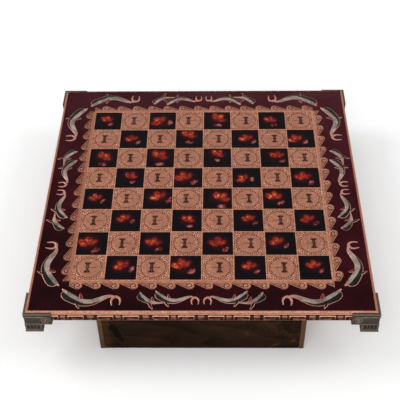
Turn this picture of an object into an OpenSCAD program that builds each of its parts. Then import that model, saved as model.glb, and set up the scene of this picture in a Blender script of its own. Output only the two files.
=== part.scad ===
// Chess box with drawers: a square metal relief board in a fretted frame with
// four corner feet, carried by a wooden box with two sliding drawers.
// Frame: +Z up, origin on the table under the middle of the board, front towards -Y.

/* [Playing field] */
// Pitch of the squares, from the middle of one to the next
square_pitch = 42; // [34:0.5:50]
// Side of the flat inside one square
square_flat = 40.4; // [30:0.1:41]
// Width of the plain strip around the 64 squares
strip_w = 4.6; // [3:0.1:7]
// Distance that the wave crests reach out from the strip
wave_reach = 10.4; // [8:0.1:13]
// Waves along each side
wave_count = 14; // [10:1:18]
// Distance that the band of waves runs past both ends of the field
wave_overrun = 2; // [0:0.1:3]
// Width of the enamelled border between the wave crests and the rim
enamel_w = 34; // [26:0.5:45]
// Diameter of the medallion on a light square
medallion_d = 30; // [22:0.5:34]
// Height of the double axe on a medallion
axe_h = 18; // [12:0.1:20]
// Width of the double axe at its waist
axe_waist = 4.4; // [1.5:0.1:6]
// Width of the double axe across a blade
axe_flare = 9.2; // [6:0.1:12]
// Length of the double axe's shaft
axe_shaft_l = 15.4; // [12:0.1:20]
// Width of the double axe's shaft
axe_shaft_w = 1.2; // [0.6:0.1:2]
// Distance from a medallion's middle out to the middle of its double axe
axe_offset = 2.3; // [0:0.1:4]

/* [Plate] */
// Thickness of the plate's sheet
sheet_t = 2; // [1.2:0.1:3]
// Height of the bars between the squares, and of the waves, above the sheet
bar_rise = 1.5; // [1:0.1:1.9]
// Height of a light square above the sheet
tile_rise = 1.1; // [0.8:0.1:1.4]
// Height of a medallion above its light square
medallion_rise = 0.4; // [0.2:0.1:0.5]
// Height of a double axe above its medallion
axe_rise = 0.4; // [0.2:0.1:0.5]
// Depth of the border enamel
enamel_t = 0.9; // [0.5:0.1:1.2]
// Depth of the resin in a dark square
resin_t = 1; // [0.5:0.1:1.2]

/* [Dolphins] */
// Height of the dolphins above the sheet
dolphin_rise = 1.8; // [1.3:0.1:2.4]
// Distance from the field's corner along the border to a corner dolphin's beak
beak_along = 9.8; // [8:0.1:14]
// Distance from the field's edge out to a corner dolphin's beak
beak_out = 14.5; // [13:0.5:16]
// Distance from the board's middle to the leading dolphin's beak in a pair
leader_x = 78; // [74:0.5:84]
// Distance from the board's middle to the following dolphin's beak in a pair
follower_x = 58.5; // [56:0.5:64]
// Width of a corner dolphin's back, outside its body line
back_width = 8; // [6:0.1:9]
// Width of a corner dolphin's belly, inside its body line
belly_width = 3; // [2:0.1:4]
// Half width of a dolphin at its beak and its tail
tip_width = 0.8; // [0.5:0.1:1.2]

/* [Frame rails] */
// Thickness of a rail's wall, which is the rim seen from above
wall_t = 3; // [2.4:0.1:5]
// Height of the rim above the plate's sheet
rim_rise = 2; // [1.6:0.1:3]
// Width of the ledge that carries the base board
ledge_w = 9; // [7:0.5:14]
// Thickness of that ledge
ledge_t = 3.5; // [2.5:0.1:5]
// Height of the plain moulding at a rail's top
moulding_h = 5.2; // [3:0.1:6]
// Height of the plain edge at a rail's foot
edge_h = 1.2; // [0.6:0.1:2]
// Depth of the fret pattern
fret_depth = 0.9; // [0.4:0.1:1.5]
// Width of a fret line
fret_line = 1.7; // [1:0.1:2]
// Width of one key of the fret
key_w = 21; // [16:0.5:22]
// Distance from the middle of a pair of keys to the middle of each
key_offset = 16; // [15:0.5:17]
// Distance between the top of a key and the moulding
key_drop = 2.6; // [0.4:0.1:3]
// Width of the block between the two keys of a pair
key_block_w = 7; // [4:0.5:8]
// Pitch of the pairs of keys
pair_pitch = 69.5; // [66:0.5:72]
// Width of the bar between two pairs
pair_bar_w = 8.4; // [5:0.1:10]
// Pairs of keys on each side of a rail's middle
fret_pairs = 3; // [2:1:3]
// Chamfer along the inner edge of the rim
rim_edge_in = 0.5; // [0.2:0.1:1]
// Chamfer along the outer edge of the rim
rim_edge_out = 1; // [0.3:0.1:1.5]

/* [Base board] */
// Thickness of the base board
base_board_t = 9.5; // [8:0.5:14]
// Clearance around the base board and the plate
board_gap = 0.2; // [0.1:0.05:0.5]

/* [Corner feet] */
// Distance from the frame's underside down to the soles of the feet's pads
foot_drop = 21.5; // [20:0.5:40]
// Thickness of a foot's cap outside the rail
cap_t = 2.5; // [1.5:0.1:4]
// Length of a cap's wing, from its outer corner
wing_l = 34.5; // [30:0.5:50]
// Distance from the rim down to the top of a cap
cap_drop = 1.3; // [0.5:0.1:3]
// Thickness of the shelf under a rail
shelf_t = 4.3; // [3:0.1:6]
// Depth of that shelf under a rail
shelf_d = 14; // [12:0.5:20]
// Side of the foot's square block
block_w = 21.5; // [16:0.5:24]
// Distance that the block stands out past the cap
block_out = 0.6; // [0.3:0.1:1.5]
// Height of the block's plinth, which has rounded edges
plinth_h = 3.4; // [2:0.1:5]
// Distance that the plinth stands out past the block
plinth_out = 0.8; // [0.3:0.1:1.5]
// Flutes on each face of the block
flute_count = 4; // [3:1:4]
// Radius of a flute
flute_r = 1.7; // [1:0.1:2]
// Pitch of the flutes
flute_pitch = 4.3; // [4.1:0.1:4.8]
// Plain height above the plinth and under the cap, clear of the flutes
flute_end = 1.6; // [0.8:0.1:2.5]
// Outer radius of the volute
volute_r = 6.3; // [4:0.1:6.6]
// Width of the volute's band and of the cap's edge beads
volute_line = 1.4; // [1:0.1:1.6]
// Distance from a cap's outer corner to the volute's middle
volute_x = 27; // [24:0.5:28]
// Height of the volute's middle above the cap's foot
volute_z = 8.4; // [8:0.1:10]
// Height of the volute above the cap
volute_rise = 0.8; // [0.4:0.1:1.5]

/* [Box] */
// Height of the frame's underside above the table
frame_z = 66; // [50:0.5:90]
// Outer width of the box
box_w = 266; // [240:1:290]
// Step back from the frame's face to the box's ends
box_setback = 3; // [0:0.5:8]
// Thickness of a side panel
side_t = 6.3; // [5:0.1:10]
// Thickness of the bottom panel
bottom_t = 2.5; // [2:0.1:4]
// Thickness of the partition between the drawers
partition_t = 6; // [4:0.5:12]
// Width and height of a drawer runner
runner_w = 4; // [3:0.1:5]
// Step back from a drawer's face to the runner's end
runner_setback = 1.5; // [0.5:0.1:4]
// Thickness of the felt pads under the box
box_pad_t = 1; // [0.5:0.1:3]
// Radius of the felt pads under the box
box_pad_r = 8; // [5:0.5:12]
// Distance from the middle to the outer pads, across the box
box_pad_x = 106; // [80:1:108]
// Distance from the middle to the outer pads, along the box
box_pad_y = 177; // [140:1:180]
// Thickness of the clear pads under the feet
foot_pad_t = 2; // [1:0.1:3]
// Radius of the clear pads under the feet
foot_pad_r = 7.7; // [5:0.1:8]

/* [Drawers] */
// Distance that a drawer slides out
drawer_travel = 150; // [60:1:165]
// Thickness of a drawer's face
face_t = 8; // [6:0.5:12]
// Bevel along the inner top edge of the face
face_bevel = 4; // [2:0.5:5]
// Slot left open between the face and the frame above it
face_slot = 4.5; // [1:0.5:6]
// Thickness of a drawer's side
drawer_side_t = 8; // [7:0.5:12]
// Thickness of a drawer's back
drawer_back_t = 6; // [4:0.5:10]
// Thickness of a drawer's bottom
drawer_bottom_t = 3; // [2.8:0.1:5]
// Thickness of the felt lining
lining_t = 0.8; // [0.5:0.1:1.5]
// Running clearance around a drawer
drawer_gap = 0.4; // [0.3:0.05:0.8]
// Gap between a closed drawer and the partition
drawer_end_gap = 1; // [0.5:0.1:3]
// Radius of a stop pin
pin_r = 2; // [1.5:0.1:3]
// Height of a stop pin above the box's bottom panel
pin_rise = 1.8; // [1:0.1:2]
// Distance from the back of a drawer's face to its stop pin
pin_inset = 12; // [10:0.5:20]
// Radius of a drawer dowel
dowel_r = 1.2; // [1:0.1:1.6]
// Length of a drawer dowel
dowel_l = 14; // [10:0.5:24]

/* [Screws] */
// Radius of a wood screw's shank
shank_r = 1.5; // [1:0.1:2]
// Radius of a wood screw's head
head_r = 3; // [2.2:0.1:4]
// Length of the screws in the rails and the box
short_screw = 9; // [6:0.5:11]
// Length of the screws in the feet
long_screw = 13; // [10:0.5:15]
// Distance from a rail's middle to its outer screws
rail_screw_far = 165; // [140:1:175]
// Distance from a rail's middle to its inner screws
rail_screw_near = 60; // [40:1:90]
// Distance from a cap wing's inner end to the screw in the foot
foot_screw_inset = 6; // [5:0.5:8]
// Distance from the middle to the box's screws, across the box
box_screw_x = 98; // [80:1:104]
// Distance from the middle to the box's outer screws, along the box
box_screw_far = 187; // [160:1:190]
// Distance from the middle to the box's inner screws, along the box
box_screw_near = 73; // [40:1:110]
// Clearance between a screw or pin and its hole
hole_gap = 0.05; // [0.03:0.01:0.1]

/* [Hidden] */
$fn = 32;

copper = "peru";
bronze = "dimgray";
walnut = "saddlebrown";
beech = "burlywood";
eps = 0.01; // overlap that makes a cut clean

// Plan sizes
squares = 8;
field_w = squares * square_pitch;
wave_pitch = field_w / wave_count;
board_w = field_w + 2 * (strip_w + wave_reach + enamel_w + wall_t);
half = board_w / 2;
ledge_in = half - wall_t - ledge_w;
ledge_middle = ledge_in + ledge_w / 2;
plate_w = board_w - 2 * (wall_t + board_gap);

// Heights
board_z = frame_z + ledge_t;
sheet_z = board_z + base_board_t;
floor_z = sheet_z + sheet_t;
rim_z = floor_z + rim_rise;
cap_top_z = rim_z - cap_drop;
cap_foot_z = frame_z - shelf_t;
sole_z = frame_z - foot_drop;
block_z = sole_z + foot_pad_t;
bottom_z = box_pad_t + bottom_t;
drawer_z = bottom_z + drawer_gap;
tray_z = drawer_z + drawer_bottom_t;
face_top_z = frame_z - face_slot;
face_foot_z = box_pad_t + 1.5 * drawer_gap;
runner_z = (drawer_z + face_top_z - runner_w) / 2;

// Fret and feet
band_h = rim_z - moulding_h - frame_z - edge_h;
key_h = band_h - key_drop;
cap_out = half + cap_t;
cap_h = cap_top_z - cap_foot_z;
band_hidden = 2; // length of the fret's hollow that runs on behind a cap
band_half = cap_out - wing_l + band_hidden;
block_at_xy = cap_out + block_out - block_w / 2;

// Box and drawer lengths, for the drawer at the front
box_half_w = box_w / 2;
inner_half_w = box_half_w - side_t;
box_end = half - box_setback;
face_in = box_end - face_t;
drawer_end = partition_t / 2 + drawer_end_gap;
back_in = drawer_end + drawer_back_t;
drawer_half_w = inner_half_w - drawer_gap;
tray_half_w = drawer_half_w - drawer_side_t;
pin_y = face_in - pin_inset;
channel_w = pin_r + drawer_gap;

// One point on a smooth curve through the points p, for t from 0 to 1
function curve(p, t) =
    let (n = len(p) - 1, u = min(t * n, n - 1e-6), i = floor(u), f = u - i,
         a = p[max(i - 1, 0)], b = p[i], c = p[i + 1], d = p[min(i + 2, n)])
    0.5 * (2 * b + (c - a) * f + (2 * a - 5 * b + 4 * c - d) * pow(f, 2)
           + (3 * b - 3 * c + d - a) * pow(f, 3));

// The unit normal to the left of that curve
function curve_side(p, t) =
    let (d = curve(p, min(t + 0.01, 1)) - curve(p, max(t - 0.01, 0)))
    [-d.y, d.x] / norm(d);

module quadrants() {
    for (turn = [0:3]) rotate(90 * turn) children();
}

module wedge() {
    // The quarter of the plan that the front rail fills, mitred at its ends
    linear_extrude(rim_z + 1) polygon([[-half - 1, -half - 1], [half + 1, -half - 1], [0, 0]]);
}

module block_at(low, high) {
    translate(low) cube(high - low);
}

// ---------- playing plate ----------

// Outline of one side, seen with its outside towards +Y: a straight back that touches a round
// head for each wave, cut off square a little past both ends of the field
head_share = 0.58; // a round head's radius, as a share of the wave's reach
head_place = 0.87; // a head's middle along its wave, as a share of the pitch
wave_start = 0.49; // the part of the first wave cut off by the corner, as a share of the pitch
wave_head_r = head_share * wave_reach;
head_o = wave_reach - wave_head_r;
head_x = head_place * wave_pitch;
back_a = atan2(head_o, head_x) + asin(wave_head_r / norm([head_x, head_o]));
head_start = back_a + 90;
// A head ends on the next wave's back, or on the strip where it stops short of that back
strip_a = -asin(head_o / wave_head_r);
heads_meet = head_x + wave_head_r * cos(strip_a) > wave_pitch;
back_gap = head_o * cos(back_a) + (wave_pitch - head_x) * sin(back_a);
head_stop = heads_meet ? back_a - asin(back_gap / wave_head_r) : strip_a;
head_steps = 6;
first_wave = -wave_start * wave_pitch;

function back_at(x) = strip_w + x * tan(back_a);
function wave_foot(i) = heads_meet ? [] : [[first_wave + i * wave_pitch, strip_w]];
function wave_head(i) =
    [for (k = [0:head_steps]) let (a = head_start + (head_stop - head_start) * k / head_steps)
        [first_wave + i * wave_pitch + head_x, strip_w + head_o] + wave_head_r * [cos(a), sin(a)]];
function side_outline() = concat(
    [[-wave_overrun, wave_overrun], [-wave_overrun, back_at(-wave_overrun - first_wave)]],
    [for (i = [0:wave_count - 1]) each concat(wave_head(i), wave_foot(i + 1))],
    [[field_w + wave_overrun, back_at(field_w + wave_overrun - first_wave - wave_count * wave_pitch)]]);
function turned(p, turn) = [p.x * cos(90 * turn) - p.y * sin(90 * turn),
                            p.x * sin(90 * turn) + p.y * cos(90 * turn)];
function field_outline() = [for (turn = [0:3]) for (p = side_outline())
    turned([p.x - field_w / 2, -field_w / 2 - p.y], turn)];

axe_stub = 0.27; // the part of the shaft on the far side of the blades, as a share of its length
function square_x(i) = (i - (squares - 1) / 2) * square_pitch;
function is_light(i, j) = (i + j) % 2 == 0;

module on_squares(light) {
    for (i = [0:squares - 1], j = [0:squares - 1])
        if (is_light(i, j) == light)
            translate([square_x(i), square_x(j)]) mirror([i < squares / 2 ? 0 : 1, 0]) children();
}

module square_block(side, height) {
    translate([-side / 2, -side / 2]) cube([side, side, height]);
}

module double_axe(height) {
    // Two flared blades on a thin shaft that lies along X, its long end towards the board's middle
    waist = axe_waist / 2;
    flare = axe_flare / 2;
    translate([-axe_offset, 0]) {
        linear_extrude(height) polygon([for (p = [
            [-waist, 0], [-waist, 0.25], [-flare, 0.45], [-flare, 0.5],
            [flare, 0.5], [flare, 0.45], [waist, 0.25],
            [waist, 0], [waist, -0.25], [flare, -0.45], [flare, -0.5],
            [-flare, -0.5], [-flare, -0.45], [-waist, -0.25]]) [p.x, p.y * axe_h]]);
        translate([-axe_shaft_l * axe_stub, -axe_shaft_w / 2]) cube([axe_shaft_l, axe_shaft_w, height]);
    }
}

module playing_plate() {
    tile_z = floor_z + tile_rise;
    color(copper) {
        difference() {
            union() {
                translate([0, 0, sheet_z]) square_block(plate_w, sheet_t);
                translate([0, 0, floor_z - eps])
                    linear_extrude(bar_rise + eps) polygon(field_outline());
            }
            translate([0, 0, floor_z]) on_squares(false) square_block(square_flat, bar_rise + 1);
            translate([0, 0, tile_z]) on_squares(true) square_block(square_flat, bar_rise);
        }
        translate([0, 0, tile_z - eps]) on_squares(true) {
            cylinder(h = medallion_rise + eps, d = medallion_d);
            double_axe(medallion_rise + axe_rise);
        }
    }
}

module dark_squares() {
    color("black") translate([0, 0, floor_z])
        on_squares(false) square_block(square_flat - 2 * hole_gap, resin_t);
}

// ---------- dolphins ----------

// Body lines from beak to tail, along the border and in from the beak, on a border 34 wide
single_line = [[0, 0], [10, -8.5], [24, -18], [37, -20], [48, -16], [58, -11.5], [65, -11], [69, -14]];
leader_line = [[0, 0], [5, -8], [10, -12.5], [16, -15.5], [23, -16.5], [31, -17]];
follower_line = [[0, 0], [7, -6.5], [15, -13], [25, -15], [33, -13], [40, -10], [46, -9], [50, -12]];
flipper_shape = [[-6, 3], [-2, -3], [1.5, -6.3], [3, -5.3], [2.5, -2], [4, 2]];
fin_shape = [[-3.5, -2], [-1.5, 5], [-1, 9.5], [0.5, 8.5], [2, 4], [5, -2]];
tail_shape = [[-5, 2], [0, 3.5], [4, 1.5], [6, -3], [6.5, -12], [4, -7], [1, -3.5], [-2.5, -6],
              [-3.5, -13], [-6, -7], [-6.5, -2]];
body_steps = 10;
dolphin_k = enamel_w / 34;
pair_girth = 0.75;
pair_low = 5; // how much further out than a corner dolphin's the leading beak lies
pair_step = 2; // how much further in than that the following beak lies

// Half width of the back and of the belly at t from beak to tail
function back_w(t) = back_width * pow(sin(180 * pow(t, 0.36)), 1.1) + tip_width;
function belly_w(t) = belly_width * pow(sin(180 * pow(t, 0.65)), 1.2) + tip_width;

module slab(points, height) {
    translate([0, 0, floor_z]) linear_extrude(height) polygon(points);
}

module dolphin(height, line, girth, fin_t, has_tail = true) {
    // One casting with an even top, its belly to the left of the body line
    back_pts = [for (k = [0:body_steps]) let (t = k / body_steps)
        dolphin_k * curve(line, t) - girth * back_w(t) * curve_side(line, t)];
    belly_pts = [for (k = [body_steps:-1:0]) let (t = k / body_steps)
        dolphin_k * curve(line, t) + girth * belly_w(t) * curve_side(line, t)];
    flipper = curve(line, fin_t) - girth * 7 * curve_side(line, fin_t);
    fin = curve(line, fin_t) + girth * 2 * curve_side(line, fin_t);
    tail = line[len(line) - 1];
    slab(concat(back_pts, belly_pts), height);
    slab([for (p = flipper_shape) dolphin_k * (flipper + p)], height);
    slab([for (p = fin_shape) dolphin_k * (fin + girth * p)], height);
    if (has_tail) slab([for (p = tail_shape) dolphin_k * (tail + (girth + 0.3) / 1.3 * p)], height);
}

beak_x = field_w / 2 + beak_along;
beak_y = field_w / 2 + beak_out;

module corner_dolphin(height) {
    // The dolphin at the left end of the front border
    translate([-beak_x, -beak_y]) dolphin(height, single_line, 1, 0.29);
}

module dolphin_pair(height) {
    // Two dolphins swimming left from the middle of the front border, the first half hidden
    leader_y = -beak_y - pair_low * dolphin_k;
    translate([-leader_x, leader_y]) dolphin(height, leader_line, pair_girth, 0.6, false);
    translate([-follower_x, leader_y + pair_step * dolphin_k])
        dolphin(height, follower_line, pair_girth, 0.31);
}

module both_ways() {
    children();
    mirror([1, 0]) children();
}

module corner_dolphins(height = dolphin_rise) {
    color("silver") quadrants() both_ways() corner_dolphin(height);
}

module middle_dolphins(height = dolphin_rise) {
    color("silver") quadrants() both_ways() dolphin_pair(height);
}

module border_enamel() {
    color("maroon") difference() {
        translate([0, 0, floor_z]) square_block(plate_w, enamel_t);
        translate([0, 0, floor_z - 1]) linear_extrude(enamel_t + 2) polygon(field_outline());
        translate([0, 0, -1]) corner_dolphins(enamel_t + 2);
        translate([0, 0, -1]) middle_dolphins(enamel_t + 2);
    }
}

// ---------- board and frame ----------

module screw_solid(length, gap = 0) {
    // A wood screw pointing up, its head flush with z = 0
    cylinder(h = head_r - shank_r + gap, r1 = head_r + gap, r2 = shank_r + gap);
    cylinder(h = length + gap, r = shank_r + gap);
}

module cross_recess() {
    arm = 0.6 * head_r;
    slot = 0.13 * head_r;
    for (turn = [0, 90]) rotate(turn) translate([-arm, -slot, -eps]) cube([2 * arm, 2 * slot, head_r / 3]);
}

module screw(length) {
    difference() {
        screw_solid(length);
        cross_recess();
    }
}

module rail_screw_places() {
    quadrants() for (x = [-rail_screw_far, -rail_screw_near, rail_screw_near, rail_screw_far])
        translate([x, -ledge_middle, frame_z]) children();
}

module foot_screw_places() {
    quadrants() both_ways()
        translate([-cap_out + wing_l - foot_screw_inset, -ledge_middle, cap_foot_z]) children();
}

module box_screw_places() {
    both_ways() for (y = [-box_screw_far, -box_screw_near, box_screw_near, box_screw_far])
        translate([box_screw_x, y, frame_z]) children();
}

module base_board() {
    color(beech) difference() {
        translate([0, 0, board_z]) square_block(plate_w, base_board_t);
        rail_screw_places() screw_solid(short_screw, hole_gap);
        foot_screw_places() screw_solid(long_screw, hole_gap);
        box_screw_places() screw_solid(short_screw, hole_gap);
    }
}

module rail_screws() { color("silver") rail_screw_places() screw(short_screw); }
module foot_screws() { color("silver") foot_screw_places() screw(long_screw); }
module box_screws() { color("silver") box_screw_places() screw(short_screw); }

// Fret lines on a rail's face, in plan with the rail's foot along X
module bar(x0, x1, y0, y1) {
    translate([x0, y0]) square([x1 - x0, y1 - y0]);
}

module fret_key() {
    // One square spiral, open towards its own base
    side = key_w / 2;
    hook = 0.56 * key_h;
    foot = 0.8 * fret_line;
    bar(-side, side, key_h - fret_line, key_h);
    bar(-side, -side + fret_line, -eps, key_h);
    bar(side - fret_line, side, -eps, key_h);
    bar(-side / 2, side, -eps, foot);
    bar(-side / 2, -side / 2 + fret_line, -eps, hook);
    bar(-side / 2, side / 4, hook - fret_line, hook);
}

module fret_lines() {
    for (i = [-fret_pairs:fret_pairs - 1]) {
        middle = (i + 0.5) * pair_pitch;
        for (way = [0, 1]) translate([middle, 0]) mirror([way, 0])
            translate([key_offset, 0]) fret_key();
        bar(middle - key_block_w / 2, middle + key_block_w / 2, -eps, key_h);
    }
    for (i = [-fret_pairs:fret_pairs])
        bar(i * pair_pitch - pair_bar_w / 2, i * pair_pitch + pair_bar_w / 2, -eps, band_h + eps);
}

module fret_recess() {
    // The hollow between the fret lines
    translate([0, -half + fret_depth, frame_z + edge_h]) rotate([90, 0, 0])
        linear_extrude(fret_depth + 1) difference() {
            bar(-band_half, band_half, 0, band_h);
            fret_lines();
        }
}

module rail() {
    // The front rail: a wall whose top is the rim, and a ledge under the base board
    color(copper) difference() {
        intersection() {
            translate([-half, 0, 0]) rotate([90, 0, 90]) linear_extrude(board_w) polygon([
                [-half + edge_h / 2, frame_z], [-ledge_in, frame_z], [-ledge_in, board_z],
                [-half + wall_t, board_z], [-half + wall_t, rim_z - rim_edge_in],
                [-half + wall_t - rim_edge_in, rim_z], [-half + rim_edge_out, rim_z],
                [-half, rim_z - rim_edge_out], [-half, frame_z + edge_h / 2]]);
            wedge();
        }
        fret_recess();
        rail_screw_places() screw_solid(short_screw, hole_gap);
        foot_screw_places() screw_solid(long_screw, hole_gap);
    }
}

module front_rail() { rail(); }
module right_rail() { rotate(90) rail(); }
module back_rail() { rotate(180) rail(); }
module left_rail() { rotate(270) rail(); }

// ---------- corner feet ----------

// A spiral band that winds inwards, with its outer end at the top
volute_turns = 2;
volute_steps = 36;
function volute_point(k, inset) =
    let (t = k / volute_steps, a = 90 + 360 * volute_turns * t, r = volute_r * (1 - 0.84 * t) - inset)
    r * [cos(a), sin(a)];

module volute() {
    eye = 0.2 * volute_r;
    polygon(concat(
        [for (k = [0:volute_steps]) volute_point(k, 0)],
        [for (k = [volute_steps:-1:0]) volute_point(k, volute_line * (1 - 0.4 * k / volute_steps))]));
    circle(r = eye);
}

module wing_relief() {
    // Volute near the wing's inner end and a band that sweeps up from it to the corner
    band_top = cap_h - 2.5 * volute_line;
    band_end = 1.4 * volute_line;
    volute_top = volute_z + volute_r;
    translate([-cap_out, -cap_out + eps, cap_foot_z]) rotate([90, 0, 0])
        linear_extrude(volute_rise + eps) {
            translate([volute_x, volute_z]) volute();
            polygon([[volute_x, volute_top], [band_end, band_top], [band_end, band_top - volute_line],
                     [volute_x, volute_top - volute_line]]);
            bar(0, wing_l, cap_h - volute_line, cap_h);
            bar(0, wing_l, 0, volute_line);
        }
}

module block_profile() {
    // The foot's block from the side, on a plinth with rounded edges
    r = plinth_h / 2;
    side = block_w / 2 + plinth_out - r;
    middle_z = block_z + r;
    rotate([90, 0, 0]) linear_extrude(block_w + 2 * plinth_out + 2, center = true) {
        polygon(concat([for (a = [-90:22.5:90]) [side, middle_z] + r * [cos(a), sin(a)]],
                       [for (a = [90:22.5:270]) [-side, middle_z] + r * [cos(a), sin(a)]]));
        bar(-block_w / 2, block_w / 2, middle_z, cap_foot_z + eps);
    }
}

module foot_block() {
    flute_foot = block_z + plinth_h + flute_end;
    difference() {
        intersection() {
            block_profile();
            rotate(90) block_profile();
        }
        quadrants() for (i = [0:flute_count - 1])
            translate([(i - (flute_count - 1) / 2) * flute_pitch, -block_w / 2, flute_foot])
                cylinder(h = cap_foot_z - flute_end - flute_foot, r = flute_r);
    }
}

module foot() {
    // The front left foot
    shelf_in = -half + shelf_d;
    color(bronze) difference() {
        union() {
            difference() {
                translate([-cap_out, -cap_out, cap_foot_z]) cube([wing_l, wing_l, cap_h]);
                translate([-half, -half, frame_z]) cube([wing_l, wing_l, cap_h]);
                translate([shelf_in, shelf_in, cap_foot_z - eps]) cube([wing_l, wing_l, cap_h]);
            }
            translate([-block_at_xy, -block_at_xy, 0]) foot_block();
            wing_relief();
            mirror([1, -1, 0]) wing_relief();
        }
        foot_screw_places() screw_solid(long_screw, hole_gap);
    }
}

module foot_front_left() { foot(); }
module foot_front_right() { rotate(90) foot(); }
module foot_back_right() { rotate(180) foot(); }
module foot_back_left() { rotate(270) foot(); }

module foot_pads() {
    color("white") quadrants()
        translate([-block_at_xy, -block_at_xy, sole_z]) cylinder(h = foot_pad_t, r = foot_pad_r);
}

// ---------- box ----------

module box_side() {
    // The left side, notched at its ends to pass under the frame's ledges
    notch = ledge_in - board_gap;
    color(walnut) {
        block_at([-box_half_w, -box_end, box_pad_t], [-inner_half_w, box_end, frame_z]);
        block_at([-box_half_w, -notch, frame_z - eps], [-inner_half_w, notch, board_z]);
    }
}

module box_side_left() { box_side(); }
module box_side_right() { mirror([1, 0, 0]) box_side(); }

module box_top() {
    reach = ledge_in - board_gap;
    color(beech) difference() {
        block_at([-inner_half_w, -reach, frame_z], [inner_half_w, reach, board_z]);
        box_screw_places() screw_solid(short_screw, hole_gap);
    }
}

module pin_places() {
    for (y = [-pin_y, pin_y]) translate([0, y, box_pad_t]) children();
}

module box_bottom() {
    reach = face_in - drawer_gap;
    color(beech) difference() {
        block_at([-inner_half_w, -reach, box_pad_t], [inner_half_w, reach, bottom_z]);
        pin_places() translate([0, 0, -1]) cylinder(h = bottom_t + 2, r = pin_r + hole_gap);
    }
}

module stop_pins() {
    color("silver") pin_places() cylinder(h = bottom_t + pin_rise, r = pin_r);
}

module box_partition() {
    color(beech)
        block_at([-inner_half_w, -partition_t / 2, bottom_z], [inner_half_w, partition_t / 2, frame_z]);
}

module drawer_runners() {
    color(beech) for (way = [0, 1]) mirror([0, way, 0]) both_ways()
        block_at([-inner_half_w, -face_in + runner_setback, runner_z],
                 [-inner_half_w + runner_w, -partition_t / 2, runner_z + runner_w]);
}

module box_pads() {
    color("darkgreen") for (x = [-box_pad_x, box_pad_x], y = [-box_pad_y, 0, box_pad_y])
        translate([x, y, 0]) cylinder(h = box_pad_t, r = box_pad_r);
}

// ---------- drawers, drawn for the front one ----------

module dowel_places() {
    // Two dowels at each end of a side, above and below the runner's groove
    groove_low = runner_z - drawer_gap;
    groove_high = runner_z + runner_w + drawer_gap;
    for (z = [(drawer_z + groove_low) / 2, (face_top_z + groove_high) / 2]) {
        translate([-drawer_half_w + drawer_side_t / 2, -box_end + 1, z])
            rotate([-90, 0, 0]) children();
        translate([-drawer_half_w, -drawer_end - drawer_back_t / 2, z]) rotate([0, 90, 0]) children();
    }
}

module dowel(gap = 0) {
    translate([0, 0, -gap]) cylinder(h = dowel_l + 2 * gap, r = dowel_r + gap);
}

module drawer_face() {
    color(walnut) difference() {
        translate([-drawer_half_w, 0, 0]) rotate([90, 0, 90]) linear_extrude(2 * drawer_half_w) polygon([
            [-box_end, face_foot_z], [-face_in, face_foot_z], [-face_in, face_top_z - face_bevel],
            [-face_in - face_bevel, face_top_z], [-box_end, face_top_z]]);
        both_ways() dowel_places() dowel(hole_gap);
    }
}

module drawer_side() {
    // The left side, with the groove that slides on its runner
    color(walnut) difference() {
        block_at([-drawer_half_w, -face_in, drawer_z], [-tray_half_w, -drawer_end, face_top_z]);
        block_at([-drawer_half_w - 1, -face_in - 1, runner_z - drawer_gap],
                 [-inner_half_w + runner_w + drawer_gap, 0, runner_z + runner_w + drawer_gap]);
        dowel_places() dowel(hole_gap);
    }
}

module drawer_back() {
    color(walnut) difference() {
        block_at([-tray_half_w, -back_in, drawer_z], [tray_half_w, -drawer_end, face_top_z]);
        both_ways() dowel_places() dowel(hole_gap);
    }
}

module drawer_bottom() {
    // The channel underneath runs over the stop pin
    color(beech) difference() {
        block_at([-tray_half_w, -face_in, drawer_z], [tray_half_w, -back_in, tray_z]);
        block_at([-channel_w, -pin_y - channel_w - 1, drawer_z - 1],
                 [channel_w, -pin_y + drawer_travel + channel_w, bottom_z + pin_rise + drawer_gap]);
    }
}

module drawer_lining() {
    color("darkgreen") block_at([-tray_half_w + hole_gap, -face_in + hole_gap, tray_z],
                                [tray_half_w - hole_gap, -back_in - hole_gap, tray_z + lining_t]);
}

module drawer_dowels() {
    color(beech) both_ways() dowel_places() dowel();
}

module front_drawer_face() { drawer_face(); }
module front_drawer_side_left() { drawer_side(); }
module front_drawer_side_right() { mirror([1, 0, 0]) drawer_side(); }
module front_drawer_back() { drawer_back(); }
module front_drawer_bottom() { drawer_bottom(); }
module front_drawer_lining() { drawer_lining(); }
module front_drawer_dowels() { drawer_dowels(); }
module back_drawer_face() { rotate(180) drawer_face(); }
module back_drawer_side_left() { mirror([0, 1, 0]) drawer_side(); }
module back_drawer_side_right() { rotate(180) drawer_side(); }
module back_drawer_back() { rotate(180) drawer_back(); }
module back_drawer_bottom() { rotate(180) drawer_bottom(); }
module back_drawer_lining() { rotate(180) drawer_lining(); }
module back_drawer_dowels() { rotate(180) drawer_dowels(); }

base_board();
playing_plate();
border_enamel();
dark_squares();
corner_dolphins();
middle_dolphins();
front_rail();
right_rail();
back_rail();
left_rail();
foot_front_left();
foot_front_right();
foot_back_right();
foot_back_left();
foot_pads();
rail_screws();
foot_screws();
box_top();
box_side_left();
box_side_right();
box_bottom();
box_partition();
drawer_runners();
box_screws();
box_pads();
stop_pins();
front_drawer_face();
front_drawer_side_left();
front_drawer_side_right();
front_drawer_back();
front_drawer_bottom();
front_drawer_lining();
front_drawer_dowels();
back_drawer_face();
back_drawer_side_left();
back_drawer_side_right();
back_drawer_back();
back_drawer_bottom();
back_drawer_lining();
back_drawer_dowels();
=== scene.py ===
import math
import bpy
import numpy as np
from mathutils import Matrix, Vector


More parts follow.
